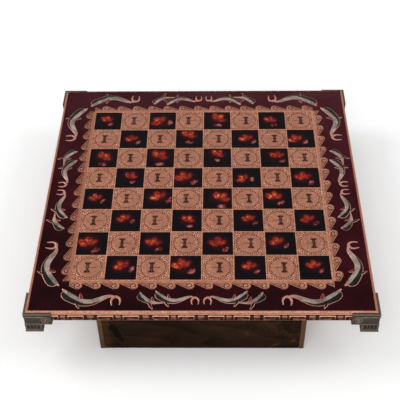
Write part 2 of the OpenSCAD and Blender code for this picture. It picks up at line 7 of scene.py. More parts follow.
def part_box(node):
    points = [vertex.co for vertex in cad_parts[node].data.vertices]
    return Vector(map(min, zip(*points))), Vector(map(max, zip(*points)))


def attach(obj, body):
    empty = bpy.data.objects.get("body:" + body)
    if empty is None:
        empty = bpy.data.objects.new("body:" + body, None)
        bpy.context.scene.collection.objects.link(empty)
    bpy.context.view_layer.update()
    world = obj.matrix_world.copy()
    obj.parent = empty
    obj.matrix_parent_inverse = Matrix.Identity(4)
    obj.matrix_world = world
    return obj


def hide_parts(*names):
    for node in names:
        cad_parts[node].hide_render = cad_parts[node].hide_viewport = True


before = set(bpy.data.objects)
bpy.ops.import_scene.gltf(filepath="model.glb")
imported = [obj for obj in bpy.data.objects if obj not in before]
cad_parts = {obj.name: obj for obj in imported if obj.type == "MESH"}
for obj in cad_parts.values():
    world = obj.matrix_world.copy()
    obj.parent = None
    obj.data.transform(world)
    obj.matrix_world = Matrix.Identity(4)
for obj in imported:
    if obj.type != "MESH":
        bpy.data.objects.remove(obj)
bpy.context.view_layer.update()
print("frame loaded")

mm = 0.001                                       # shapes are worked out in millimetres
sideNames = ("front", "right", "back", "left")   # in the order of quarter turns about Z


def boxOf(node):
    # lowest and highest corner of one node of the frame
    low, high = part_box(node)
    return np.array(low) / mm, np.array(high) / mm


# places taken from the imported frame
railLow, railHigh = boxOf("front_rail")
plateLow, plateHigh = boxOf("playing_plate")
half = -railLow[1]                               # outer face of the frame
railFootZ, rimZ = railLow[2], railHigh[2]
plateHalf, sheetZ = plateHigh[0], plateLow[2]
floorZ = boxOf("border_enamel")[0][2]            # top of the plate's sheet


# shapes as arrays

def ease(a, b, x):
    # 0 at a, 1 at b, and 3t^2 - 2t^3 between them; a may be above b
    t = np.clip((x - a) / (b - a), 0, 1)
    return t * t * (3 - 2 * t)


def laid(below, layer, share):
    # a layer over what is below it, by its share from 0 to 1
    return below + (layer - below) * share


def highest(first, *others):
    # the largest of several fields at each point
    for other in others:
        first = np.maximum(first, other)
    return first


def lowest(first, *others):
    # the smallest of several fields at each point
    for other in others:
        first = np.minimum(first, other)
    return first


def spaced(a, b, step):
    # evenly spaced values from a to b, no further apart than step
    return np.linspace(a, b, int(np.ceil(abs(b - a) / step)) + 1)


def crossed(u, v):
    # every u with every v, as two grids
    return np.meshgrid(u, v, indexing="ij")


def gridFaces(rows, cols, closedRows=False, closedCols=False):
    # quads between neighbouring points of a rows x cols grid
    i, j = crossed(np.arange(rows - (not closedRows)), np.arange(cols - (not closedCols)))
    i2, j2 = (i + 1) % rows, (j + 1) % cols
    return np.stack([i * cols + j, i2 * cols + j, i2 * cols + j2, i * cols + j2], -1).reshape(-1, 4)


def sectionFaces(rows, cols):
    # each row is a closed section; the first and the last are capped
    index = np.arange(rows * cols).reshape(rows, cols)
    return [gridFaces(rows, cols, closedCols=True), index[:1], index[-1:, ::-1]]


def columnFaces(rows, cols):
    # each column is a closed ring; the first and the last are capped
    index = np.arange(rows * cols).reshape(rows, cols)
    return [gridFaces(rows, cols, closedRows=True), index[::-1, :1].T, index[:, -1:].T]


def outward(verts, faces):
    # six times the enclosed volume is the sum of det(a, b, c) over fan triangles;
    # below 0 the faces turn
    volume = 0.0
    for face in faces:
        a = verts[face[:, 0]]
        for k in range(1, face.shape[1] - 1):
            volume += np.einsum("ij,ij->", a, np.cross(verts[face[:, k]], verts[face[:, k + 1]]))
    return faces if volume >= 0 else [face[:, ::-1] for face in faces]


def shell(verts, faces, **marks):
    # one closed surface; marks are values per vertex that materials read
    verts = np.asarray(verts, float).reshape(-1, 3)
    spread = {name: np.broadcast_to(np.asarray(mark, float), (len(verts),) + np.shape(mark)[1:]).copy()
              for name, mark in marks.items()}
    return {"verts": verts, "faces": outward(verts - verts.mean(0), faces), "marks": spread}


def reliefSlab(u, v, height, depth, place, **marks):
    # top is place(u, v, height), walls drop to place(u, v, -depth) and a flat underside closes it
    uu, vv = crossed(u, v)
    index = np.arange(uu.size).reshape(uu.shape)
    ring = np.concatenate([index[:, 0], index[-1, 1:], index[-2::-1, -1], index[0, -2:0:-1]])
    top = place(uu, vv, height).reshape(-1, 3)
    low = place(uu.ravel()[ring], vv.ravel()[ring], np.full(len(ring), -float(depth)))
    k = np.arange(len(ring))
    after = np.roll(k, -1)
    walls = np.stack([ring, uu.size + k, uu.size + after, ring[after]], -1)
    faces = [gridFaces(*uu.shape), walls, (uu.size + k)[None, ::-1]]
    flat = {name: mark.reshape((uu.size,) + mark.shape[2:]) for name, mark in marks.items()}
    marks = {name: np.concatenate([mark, mark[ring]]) for name, mark in flat.items()}
    return shell(np.concatenate([top, low]), faces, **marks)


def squareRing(profile, **marks):
    # a closed profile of (distance from the centre, height) carried round a square with mitred corners
    out, z = np.asarray(profile, float).T
    corner = np.array([[-1, -1], [1, -1], [1, 1], [-1, 1]])
    verts = np.concatenate([corner[:, None, :] * out[None, :, None],
                            np.broadcast_to(z[None, :, None], (4, len(z), 1))], -1)
    faces = [gridFaces(4, len(z), closedRows=True, closedCols=True)]
    return shell(verts, faces, **marks)


def lathe(profile, centre, steps, **marks):
    # a profile of (radius, height) turned about a vertical axis, closed at both poles
    r, z = np.asarray(profile, float).T
    a = np.linspace(0, 2 * np.pi, steps, endpoint=False)[:, None]
    verts = np.stack([centre[0] + r * np.cos(a), centre[1] + r * np.sin(a),
                      np.broadcast_to(centre[2] + z, (steps, len(z)))], -1)
    return shell(verts, columnFaces(steps, len(z)), **marks)


def moved(part, matrix=np.eye(3), shift=(0, 0, 0)):
    # the same shell turned by a 3 x 3 matrix and shifted
    verts = part["verts"] @ matrix.T + np.asarray(shift, float)
    faces = outward(verts - verts.mean(0), part["faces"])
    return {"verts": verts, "faces": faces, "marks": part["marks"]}


def quarterTurn(turn, flip=False):
    # matrix of that many quarter turns about Z, after a mirror in X where flip is set
    c, s = [(1, 0), (0, 1), (-1, 0), (0, -1)][turn % 4]
    matrix = np.array([[c, -s, 0], [s, c, 0], [0, 0, 1.0]])
    return matrix @ np.diag([-1 if flip else 1, 1, 1])


def smoothCurve(points, t):
    # cubic through the points: each stretch leaves with half the chord of its two neighbours
    p = np.asarray(points, float)
    n = len(p) - 1
    u = np.clip(t * n, 0, n - 1e-9)
    i = u.astype(int)
    f = (u - i)[:, None]
    a, b, c, d = p[np.maximum(i - 1, 0)], p[i], p[i + 1], p[np.minimum(i + 2, n)]
    return 0.5 * (2 * b + (c - a) * f + (2 * a - 5 * b + 4 * c - d) * f**2
                  + (3 * b - 3 * c + d - a) * f**3)


def leftNormals(path):
    # unit normals to the left of a plane path
    d = np.gradient(path, axis=0)
    d /= np.linalg.norm(d, axis=1, keepdims=True)
    return np.stack([-d[:, 1], d[:, 0]], -1)


def onPlate(x, y, side=1):
    # puts a relief's (along, across, height) on the plate's sheet about (x, y); side -1 mirrors it
    return lambda u, v, h: np.stack([x + side * u, y + v, floorZ + h], -1)


def makeMesh(name, shells, crease):
    # all the shells in one mesh, each mark as an attribute on its points
    verts = np.concatenate([part["verts"] for part in shells]) * mm
    starts = np.cumsum([0] + [len(part["verts"]) for part in shells[:-1]])
    groups = [face + start for part, start in zip(shells, starts) for face in part["faces"]]
    corners = np.concatenate([group.ravel() for group in groups]).astype(np.int32)
    sizes = np.concatenate([np.full(len(group), group.shape[1]) for group in groups])
    mesh = bpy.data.meshes.new(name)
    mesh.vertices.add(len(verts))
    mesh.vertices.foreach_set("co", verts.astype(np.float32).ravel())
    mesh.loops.add(len(corners))
    mesh.loops.foreach_set("vertex_index", corners)
    mesh.polygons.add(len(sizes))
    mesh.polygons.foreach_set("loop_start", (np.cumsum(sizes) - sizes).astype(np.int32))
    mesh.polygons.foreach_set("use_smooth", np.ones(len(sizes), bool))
    mesh.update(calc_edges=True)
    mesh.set_sharp_from_angle(angle=math.radians(crease))
    for mark in shells[0]["marks"]:
        values = np.concatenate([part["marks"][mark] for part in shells]).astype(np.float32)
        kind, key = ("FLOAT", "value") if values.ndim == 1 else ("FLOAT_VECTOR", "vector")
        mesh.attributes.new(mark, kind, "POINT").data.foreach_set(key, values.ravel())
    return mesh


def added(name, data):
    # a new object in the scene
    thing = bpy.data.objects.new(name, data)
    bpy.context.scene.collection.objects.link(thing)
    return thing


def makePiece(name, shells, body, slotName, material, node, crease=38):
    # a piece that rides on a body and stands for one node; edges sharper than crease degrees stay sharp
    piece = added(name, makeMesh(name, shells, crease))
    piece.data.materials.append(material)
    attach(piece, body)
    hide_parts(node)
    return piece


# materials

class Value:
    # a number socket; arithmetic on it adds Math nodes
    def __init__(self, shader, socket):
        self.shader = shader
        self.socket = socket

    def math(self, operation, *others):
        # a Math node whose first input is this value
        return self.shader.node("Math", {"operation": operation}, dict(enumerate((self, *others))))

    def swapped(self, operation, other):
        # the same with this value second
        return self.shader.node("Math", {"operation": operation}, {0: other, 1: self})

    def most(self, other):
        return self.math("MAXIMUM", other)

    def between(self, low, high):
        # 0 below low, 1 above high, eased between
        return self.shader.node("MapRange", {"interpolation_type": "SMOOTHSTEP"},
                                {"Value": self, "From Min": low, "From Max": high})


def overload(sign, operation):
    # value + number and number + value, and so on for the other signs
    setattr(Value, f"__{sign}__", lambda self, other: self.math(operation, other))
    setattr(Value, f"__r{sign}__", lambda self, other: self.swapped(operation, other))


for sign, operation in {"add": "ADD", "sub": "SUBTRACT", "mul": "MULTIPLY", "truediv": "DIVIDE",
                        "pow": "POWER"}.items():
    overload(sign, operation)


class Finish:
    # the nodes of one material, or of the world
    sockets = {"baseColor": "Base Color", "roughness": "Roughness", "metallic": "Metallic",
               "normal": "Normal", "specular": "Specular IOR Level", "sheen": "Sheen Weight",
               "sheenRoughness": "Sheen Roughness", "emission": "Emission Color",
               "emissionStrength": "Emission Strength"}

    def __init__(self, name, owner=None):
        self.material = owner or bpy.data.materials.new(name)
        self.material.use_nodes = True
        self.tree = self.material.node_tree
        self.tree.nodes.clear()
        self.where = self.node("TexCoord", output="Object")

    def node(self, kind, settings=None, sockets=None, output=0):
        # adds a node: its settings or ramp stops first, then values or links on its sockets
        made = self.tree.nodes.new("ShaderNode" + kind)
        for key, value in (settings or {}).items():
            if key == "stops":
                while len(made.color_ramp.elements) < len(value):
                    made.color_ramp.elements.new(0.5)
                for element, (place, colour) in zip(made.color_ramp.elements, value):
                    element.position = place
                    element.color = (*colour, 1)
            else:
                setattr(made, key, value)
        for key, value in (sockets or {}).items():
            if isinstance(value, Value):
                self.tree.links.new(value.socket, made.inputs[key])
            elif isinstance(value, tuple) and made.inputs[key].type == "RGBA":
                made.inputs[key].default_value = (*value, 1)[:4]
            else:
                made.inputs[key].default_value = value
        return Value(self, made.outputs[output]) if made.outputs else None

    def other(self, value, output):
        # another output of the node that made value
        return Value(self, value.socket.node.outputs[output])

    def axes(self, vector):
        # the three parts of a vector
        x = self.node("SeparateXYZ", sockets={"Vector": vector})
        return x, self.other(x, "Y"), self.other(x, "Z")

    def mark(self, name, output="Fac"):
        # what makeMesh stored on the points under that name
        return self.node("Attribute", {"attribute_name": name}, output=output)

    def stretched(self, scale):
        return self.node("Mapping", sockets={"Vector": self.where, "Scale": scale})

    def noise(self, scale, detail=3, rough=0.5, warp=0.0, at=None):
        # scale is one number, or a tuple with one along each axis
        if isinstance(scale, tuple):
            at, scale = self.stretched(scale), 1.0
        return self.node("TexNoise", sockets={"Vector": at or self.where, "Scale": scale,
                                              "Detail": detail, "Roughness": rough, "Distortion": warp})

    def mix(self, amount, a, b):
        # colour a where amount is 0, b where it is 1
        return self.node("Mix", {"data_type": "RGBA", "clamp_factor": True},
                         {0: amount, 6: a, 7: b}, output=2)

    def ramp(self, amount, stops):
        return self.node("ValToRGB", {"stops": stops}, {"Fac": amount})

    def bump(self, height, distance, strength=1.0):
        return self.node("Bump", sockets={"Height": height, "Distance": distance, "Strength": strength})

    def surface(self, **values):
        # names are the shader's own sockets, written in camelCase
        named = {self.sockets[key]: value for key, value in values.items()}
        made = self.node("BsdfPrincipled", sockets=named)
        self.node("OutputMaterial", sockets={"Surface": made})
        return self.material


def toned(colour, share):
    # each of a colour's parts, or a stretch's, times share
    return tuple(c * share for c in colour)


copper = {
    "recess": (0.040, 0.0125, 0.0085),   # dark patina in the hollows
    "body": (0.31, 0.118, 0.071),
    "polished": (0.66, 0.33, 0.220),     # rubbed high spots
    "metallic": 0.86,
    "fieldRoughness": 0.40,
    "frameRoughness": 0.34,
    "frameLightLift": 1.2,                   # painted light: the frame's copper is that much lighter than the field's, for the light on the rims
    "grain": 0.00022,                    # depth of the bump, in metres
}


def copperFinish(name, shade, roughness):
    # patina in the hollows, rubbed metal on the high spots, mottled between
    f = Finish(name)
    cloud = f.noise(38, 4, 0.6)
    grit = f.noise(900, 3, 0.65)
    speck = f.noise(330, 2, 0.6)
    paleness = f.mark("tone") + (cloud - 0.5) * 0.3 + (grit - 0.5) * 0.35 + (speck - 0.5) * 0.75
    body = f.mix(paleness.between(0.12, 0.58), copper["recess"], toned(copper["body"], shade))
    colour = f.mix(paleness.between(0.62, 1.25), body, toned(copper["polished"], shade))
    rough = roughness + (1 - paleness.between(0.1, 0.7)) * 0.25 + (cloud - 0.5) * 0.15
    return f.surface(baseColor=colour, metallic=copper["metallic"], roughness=rough,
                     normal=f.bump(grit + cloud * 0.5, copper["grain"], 0.6))


antique = {
    "stops": ((0.1, (0.020, 0.0155, 0.0115)), (0.55, (0.086, 0.065, 0.046)),
              (1.0, (0.27, 0.215, 0.160))),
    "metallic": 0.8,
    "roughness": 0.44,
}


def bronzeFinish():
    # dark in the hollows, browner on the faces and rubbed on the edges
    f = Finish("darkBronze")
    cloud = f.noise(60, 4, 0.6)
    grit = f.noise(1100, 3, 0.6)
    paleness = f.mark("tone") + (cloud - 0.5) * 0.5 + (grit - 0.5) * 0.4
    return f.surface(baseColor=f.ramp(paleness, antique["stops"]), metallic=antique["metallic"],
                     roughness=antique["roughness"] + (cloud - 0.5) * 0.2, normal=f.bump(grit, 0.0002, 0.6))


burgundy = {
    "stops": ((0.05, (0.010, 0.0012, 0.0020)), (0.35, (0.029, 0.0024, 0.0050)),
              (0.65, (0.050, 0.0080, 0.0120)), (0.95, (0.074, 0.0200, 0.0235))),
    "paintedReflection": (0.35, 1.15),     # painted reflection: how much lighter it gets per metre, to the right and to the back
    "roughness": 0.13,
    "specular": 0.03,
}


def enamelFinish():
    # deep burgundy with slow, darker and redder clouds under the gloss, and a painted reflection that
    # lightens it to the right and to the back
    f = Finish("burgundyEnamel")
    cloud = f.noise(14, 4, 0.55, 0.6)
    fine = f.noise(160, 3, 0.6)
    across, along, _ = f.axes(f.where)
    right, back = burgundy["paintedReflection"]
    # the terms in across and along paint the reflection
    depth = (cloud - 0.5) * 0.9 + (fine - 0.5) * 0.15 + across * right + along * back + 0.42
    return f.surface(baseColor=f.ramp(depth, burgundy["stops"]), roughness=burgundy["roughness"],
                     specular=burgundy["specular"], normal=f.bump(f.noise(30, 2), 0.0004, 0.5))


glowing = {
    # places run from -1 to 1 across an inlay.
    # a leaf is its middle, turn in degrees, half width and half length, and a petal's strength
    "petals": ((-0.42, 0.20, 52, 0.27, 0.42, 1.0), (-0.10, 0.40, 4, 0.28, 0.40, 0.92),
               (0.22, 0.24, -50, 0.22, 0.38, 0.7)),
    "haze": (-0.12, 0.24, 0, 0.80, 0.72),
    "bud": (0.42, -0.38, -52, 0.22, 0.36),
    "veinRoot": (-0.12, -0.25),
    "veins": 17.0,               # veins in a radian of the fan
    "hot": ((0.0, (0.0050, 0.0026, 0.0040)), (0.20, (0.030, 0.004, 0.006)),
            (0.42, (0.155, 0.010, 0.009)), (0.70, (0.31, 0.030, 0.014)),
            (0.88, (0.50, 0.095, 0.030)), (1.0, (0.70, 0.26, 0.085))),
    "blush": ((0.3, (0.120, 0.010, 0.011)), (0.65, (0.205, 0.036, 0.036)),
              (0.98, (0.40, 0.155, 0.155))),
    "wall": (0.004, 0.002, 0.002),       # painted shade along an inlay's edges, for the shade where the inlay sinks below the bars
    "roughness": 0.10,
    "specular": 0.035,
}


def resinFinish():
    # near-black maroon; glowing petals lie up and left of the middle and a smaller bud low and right;
    # painted shade darkens the edges, least at the front
    f = Finish("darkResin")
    # the third part is the distance from the edge, which the painted shade follows
    u, v, wall = f.axes(f.mark("petal", "Vector"))
    shifted = f.node("CombineXYZ", sockets={"X": u, "Y": v, "Z": f.mark("seed") * 9.0})
    swirl = f.noise(1.7, 3, 0.55, 0.8, shifted)
    veil = f.noise(3.2, 4, 0.6, 1.2, shifted)
    # veins fan out from a point under the petals, as the sine of the angle about it
    rootU, rootV = glowing["veinRoot"]
    fanned = (u - rootU).math("ARCTAN2", v - rootV) * glowing["veins"] + swirl * 7.0
    veins = fanned.math("SINE") * 0.5 + 0.5
    nudge = (swirl - 0.5) * 0.5

    def leaf(x, y, turn, wide, tall):
        # 1 in a leaf about (x, y), fading with the squared distance in half sizes
        c, t = math.cos(math.radians(turn)), math.sin(math.radians(turn))
        across, along = (u - x) * c + (v - y) * t, (v - y) * c - (u - x) * t
        return 1 - ((across / wide + nudge) ** 2 + (along / tall - nudge * 0.8) ** 2).between(0.0, 1.35)

    fan = 0.0
    for *place, strength in glowing["petals"]:
        fan = (leaf(*place) * strength).most(fan)
    haze = leaf(*glowing["haze"])
    glow = fan * (0.24 + veil.between(0.34, 0.74) * 0.66 + veins * 0.08) + haze * 0.17
    pink = leaf(*glowing["bud"]) * (0.25 + veil.between(0.38, 0.62) * 0.75)
    colour = f.mix(pink.between(0.08, 0.55), f.ramp(glow, glowing["hot"]), f.ramp(pink, glowing["blush"]))
    # painted shade along the edges of the sunken inlay, least at the front
    colour = f.mix(wall.between(0.2, 1.4), glowing["wall"], colour)
    return f.surface(baseColor=colour, roughness=glowing["roughness"], specular=glowing["specular"],
                     normal=f.bump(f.noise(120, 2), 0.00025, 0.4))


twoTone = {
    # each colour runs between two shades
    "pewter": ((0.17, 0.125, 0.105), (0.40, 0.310, 0.265)),
    "back": ((0.005, 0.006, 0.005), (0.014, 0.018, 0.012)),      # black-green
    "wire": ((0.27, 0.102, 0.074), (0.60, 0.285, 0.222)),
    "fin": (0.150, 0.014, 0.014),                                # red in the back fin
    "roughness": 0.36,
    "specular": 0.08,
}


def dolphinFinish():
    # pewter belly, black-green back and copper wires round both
    f = Finish("dolphinMetal")
    wire, belly, fin = f.mark("wire"), f.mark("belly"), f.mark("fin")
    grit = f.noise(800, 3, 0.6)
    cloud = f.noise(90, 3)
    pewter = f.mix(cloud.between(0.3, 0.7), *twoTone["pewter"])
    back = f.mix(cloud.between(0.35, 0.7), *twoTone["back"])
    fill = f.mix(fin.between(0.3, 0.7), f.mix(belly.between(0.3, 0.7), back, pewter), twoTone["fin"])
    metal = f.mix(grit.between(0.2, 0.8), *twoTone["wire"])
    bare = wire.most(belly * (1 - fin)).between(0.2, 0.6)
    return f.surface(baseColor=f.mix(wire.between(0.2, 0.8), fill, metal), metallic=bare * 0.75 + 0.1,
                     roughness=twoTone["roughness"] + (grit - 0.5) * 0.2, specular=twoTone["specular"],
                     normal=f.bump(grit, 0.00015, 0.5))


burl = {
    "stops": ((0.18, (0.0036, 0.0017, 0.0008)), (0.36, (0.0125, 0.0052, 0.0020)),
              (0.52, (0.025, 0.0105, 0.0040)), (0.75, (0.052, 0.0225, 0.0085))),
    "eye": (0.16, 0.055, 0.016),
    # knots as x, z, half width and half height in metres, lean, and how dark the heart is
    "knots": ((-0.109, 0.034, 0.0045, 0.022, 0.30, 0.44), (0.118, 0.050, 0.026, 0.020, 0.8, 0.16)),
    "leftEnd": -0.1265,          # the veneer is paler over the first centimetre from here
    "roughness": 0.42,
    "specular": 0.025,
}


def burlWalnut(name):
    # growth rings bent by slow noise, eyes where a second noise peaks, and fine pores along the grain.
    # round a knot the grain turns into rings that fade with the distance in the knot's half sizes
    f = Finish(name)
    across, _, up = f.axes(f.where)
    slow = f.noise((7, 7, 16), 4, 0.55, 1.6)
    eyes = f.noise((22, 22, 30), 3, 0.5, 2.4)
    rings = f.node("TexWave",
                   {"wave_type": "BANDS", "bands_direction": "DIAGONAL", "wave_profile": "SAW"},
                   {"Vector": f.stretched((9, 9, 30)), "Scale": 0.55, "Distortion": 13.0,
                    "Detail": 3.0, "Detail Scale": 0.8, "Detail Roughness": 0.6})
    pores = f.noise((70, 70, 900), 3, 0.6)
    ragged = f.noise((95, 95, 60), 4, 0.65, 0.8)
    amount = slow * 0.6 + rings * 0.16 + (pores - 0.5) * 0.35 + 0.08
    for x, z, wide, tall, lean, heart in burl["knots"]:
        aside = across - x + (up - z) * lean
        reach = ((aside / wide) ** 2 + ((up - z) / tall) ** 2) ** 0.5
        reach = reach + (slow - 0.5) * 1.6 + (ragged - 0.5) * 3.6
        amount = amount + (1 - reach.between(0.8, 3.2)) * (reach * 6.0).math("SINE") * 0.12
        amount = amount - (1 - reach.between(0.0, 1.5)) * heart
    amount = amount + (1 - (across - burl["leftEnd"]).between(0.004, 0.015)) * 0.22
    colour = f.mix(eyes.between(0.66, 0.80) * 0.6, f.ramp(amount, burl["stops"]), burl["eye"])
    return f.surface(baseColor=colour, roughness=burl["roughness"] + (pores - 0.5) * 0.2,
                     specular=burl["specular"], normal=f.bump(pores + rings * 0.3, 0.00012, 0.5))


grains = {
    # darker and lighter shade, stretch of the noise along X, Y and Z, roughness and specular level
    "walnutSidePanel": ((0.060, 0.029, 0.015), (0.165, 0.082, 0.040), (60, 6, 60), 0.55, 0.04),
    "walnutTray": ((0.040, 0.020, 0.011), (0.125, 0.067, 0.036), (60, 6, 60), 0.55, 0.2),
    "walnutTrayAcross": ((0.040, 0.020, 0.011), (0.125, 0.067, 0.036), (6, 60, 60), 0.55, 0.2),
    "stainedPly": ((0.12, 0.065, 0.034), (0.26, 0.155, 0.086), (7, 55, 55), 0.6, 0.2),
    "beech": ((0.33, 0.20, 0.115), (0.52, 0.35, 0.215), (55, 7, 55), 0.5, 0.2),
}


def straightGrain(name):
    # long fibres: noise stretched along one axis, over slow bands
    dark, light, stretch, roughness, specular = grains[name]
    f = Finish(name)
    fibres = f.noise(stretch, 5, 0.62, 0.3)
    bands = f.noise(toned(stretch, 0.22), 2, 0.5, 0.8)
    pores = f.noise(toned(stretch, 3.0), 3, 0.7)
    amount = (fibres * 0.6 + bands * 0.5 + (pores - 0.5) * 0.35).between(0.25, 0.85)
    return f.surface(baseColor=f.mix(amount, dark, light), roughness=roughness + (pores - 0.5) * 0.15,
                     specular=specular, normal=f.bump(fibres + pores * 0.6, 0.00015, 0.5))


plain = {
    # darker and lighter shade of each
    "fibreBoard": ((0.19, 0.115, 0.062), (0.34, 0.22, 0.125)),
    "burgundyFelt": ((0.022, 0.0025, 0.006), (0.095, 0.011, 0.022)),
    "padFelt": ((0.010, 0.012, 0.011), (0.05, 0.055, 0.05)),
    "zincScrew": ((0.42, 0.42, 0.40), (0.72, 0.72, 0.70)),
    "clearPad": ((0.62, 0.62, 0.60), (0.80, 0.80, 0.78)),
}


def fibreBoard():
    # fine fluff over slow clouds, mixed from dark to light
    f = Finish("fibreBoard")
    fluff = f.noise(700, 4, 0.7)
    amount = (fluff * 0.7 + f.noise(45, 3) * 0.3).between(0.3, 0.7)
    return f.surface(baseColor=f.mix(amount, *plain["fibreBoard"]), roughness=0.8,
                     normal=f.bump(fluff, 0.0002, 0.6))


def feltFinish(name):
    # tangled short fibres: two sharp noises, with a soft sheen
    f = Finish(name)
    tangle = f.noise(1500, 4, 0.7, 0.5)
    clump = f.noise(160, 3, 0.6)
    amount = (tangle * 0.7 + clump * 0.4).between(0.3, 0.8)
    return f.surface(baseColor=f.mix(amount, *plain[name]), roughness=0.95, specular=0.1, sheen=0.12,
                     sheenRoughness=0.5, normal=f.bump(tangle + clump * 0.5, 0.00035, 0.8))


def steelFinish():
    # bare metal whose fine marks are lighter and rougher
    f = Finish("zincScrew")
    marks = f.noise(500, 3, 0.6)
    return f.surface(baseColor=f.mix(marks, *plain["zincScrew"]), metallic=1.0,
                     roughness=0.3 + marks * 0.2, normal=f.bump(marks, 0.0001, 0.4))


def clearPadFinish():
    # milky plastic with a slight haze
    f = Finish("clearPad")
    haze = f.noise(300, 3)
    return f.surface(baseColor=f.mix(haze, *plain["clearPad"]), roughness=0.25 + haze * 0.1,
                     specular=0.5)


copperField = copperFinish("copperField", 1.0, copper["fieldRoughness"])
# the frame's copper is lightened by painted light
copperFrame = copperFinish("copperFrame", copper["frameLightLift"], copper["frameRoughness"])
bronze = bronzeFinish()
enamel = enamelFinish()
resin = resinFinish()
dolphinMetal = dolphinFinish()
walnutFace = burlWalnut("walnutVeneer")
walnutSide, walnutTray, walnutTrayAcross, plywood, beech = (straightGrain(name) for name in grains)
boardCore = fibreBoard()
burgundyFelt = feltFinish("burgundyFelt")
padFelt = feltFinish("padFelt")
zinc = steelFinish()
clearPad = clearPadFinish()
print("materials ready")


# playing field

field = {
    "squares": 8,
    "pitch": 42.0,
    "barRise": 1.5,         # bars between the squares, above the sheet
    "barHalf": 0.52,        # half width of a bar's flat top
    "barTone": 0.92,        # 0 is patina, 1 rubbed metal
    "tileGround": 0.80,     # hollow of a light square
    "leafLength": 2.9,      # the foliage's waves
    "rimAt": 2.35,          # line round a square, from the square's edge
    "discRise": 1.22,
    "discRadius": 15.0,
    "scrollRise": 1.22,
    # a corner's spirals: middle, radius, gap between turns, hand
    "spirals": ((15.0, 15.0, 3.7, 2.5, 1), (16.9, 9.6, 1.7, 2.1, -1), (9.6, 16.9, 1.7, 2.1, 1),
                (17.3, 5.8, 1.1, 1.9, 1), (5.8, 17.3, 1.1, 1.9, -1)),
    "stem": (21.5, 8.6),    # an arc about that corner point with that radius
    "axeRise": 0.42,
    "axeTall": 18.0,
    "axeWaist": 2.2,        # half width at the middle of the blades
    "axeFlare": 4.6,        # half width at the blades' ends
    "axeOff": 2.3,          # from the medallion's middle, away from the board's
    "grid": 0.45,
}
fieldSide = field["squares"] * field["pitch"]


def squares():
    # middle of each square, whether it's dark, and its rank
    for i in range(field["squares"]):
        for j in range(field["squares"]):
            x, y = ((k - (field["squares"] - 1) / 2) * field["pitch"] for k in (i, j))
            yield x, y, (i + j) % 2 == 1, j


def spiralRidge(x, y, centreX, centreY, radius, gap, hand):
    # distance from the nearest arm of the spiral r = gap * (angle / 2 pi + k), as a ridge from 0 to 1
    r = np.hypot(x - centreX, y - centreY)
    a = hand * np.arctan2(y - centreY, x - centreX) / (2 * np.pi)
    off = np.abs((r / gap - a) % 1 - 0.5) * gap
    return ease(0.27 * gap, 0.10 * gap, off) * ease(radius + 0.2, radius - 0.2, r)


def foliage(u, v):
    # worm-like leaves: plane waves of one length and seven directions, added up
    k = np.arange(7)[:, None, None]
    angle = k * 0.449 + 0.2
    phase = 2 * np.pi / field["leafLength"] * (u * np.cos(angle) + v * np.sin(angle)) + k**2 * 1.7
    return ease(-2.4, 0.2, np.cos(phase).sum(0))


def lightSquare(u, v):
    # height and tone of a light square over its cell: bars, rim line, scrolls, medallion and double axe
    a, b, r = np.abs(u), np.abs(v), np.hypot(u, v)
    edge = field["pitch"] / 2 - highest(a, b)
    stemFrom, stemRadius = field["stem"]
    stem = np.abs(np.hypot(a - stemFrom, b - stemFrom) - stemRadius)
    clear = ease(3.6, 4.2, np.hypot(a - 15, b - 15)) * (a + b > 27)     # not over the large spiral
    scroll = highest(ease(0.45, 0.15, stem) * clear,
                     *(spiralRidge(a, b, *spiral) for spiral in field["spirals"]))
    hatch = foliage(u, v)
    tile = field["tileGround"] + 0.28 * hatch + (field["scrollRise"] - field["tileGround"]) * scroll
    tone = 0.80 * hatch + 0.5 * scroll - 0.06
    rim = ease(0.5, 0.15, np.abs(edge - field["rimAt"]))
    tile, tone = laid(tile, 1.2, rim), laid(tone, 0.9, rim)
    disc = ease(field["discRadius"] + 0.35, field["discRadius"] - 0.15, r)
    bead = ease(0.55, 0.2, np.abs(r - field["discRadius"] + 0.7))
    dish = field["discRise"] - 0.05 + 0.16 * (1 - (r / field["discRadius"]) ** 2) + 0.12 * bead
    tile, tone = laid(tile, dish, disc), laid(tone, 0.76 + 0.10 * bead, disc)
    off = u + field["axeOff"]
    c = np.abs(off)
    wide = field["axeWaist"] + (field["axeFlare"] - field["axeWaist"]) * ease(3.2, 7.6, b) ** 1.6
    blades = ease(-0.1, 0.5, lowest(wide - c, field["axeTall"] / 2 - 0.02 * c**2 - b))
    shaft = ease(-0.1, 0.35, lowest(0.6 - b, off + 4.2, 11.2 - off))
    paleness = 0.30 * ease(1.5, 0.3, c) * ease(7.2, 6.2, b)      # lighter along the blades' middle
    tile = tile + field["axeRise"] * highest(blades, shaft) * disc
    tone = laid(tone, 0.02, highest(blades * (1 - paleness), shaft * 0.9) * disc)
    bar = field["barRise"] - 0.10 * (edge / field["barHalf"]) ** 2
    inner = ease(field["barHalf"], field["barHalf"] + 0.45, edge)
    return laid(bar, tile, inner), laid(field["barTone"], tone, inner)


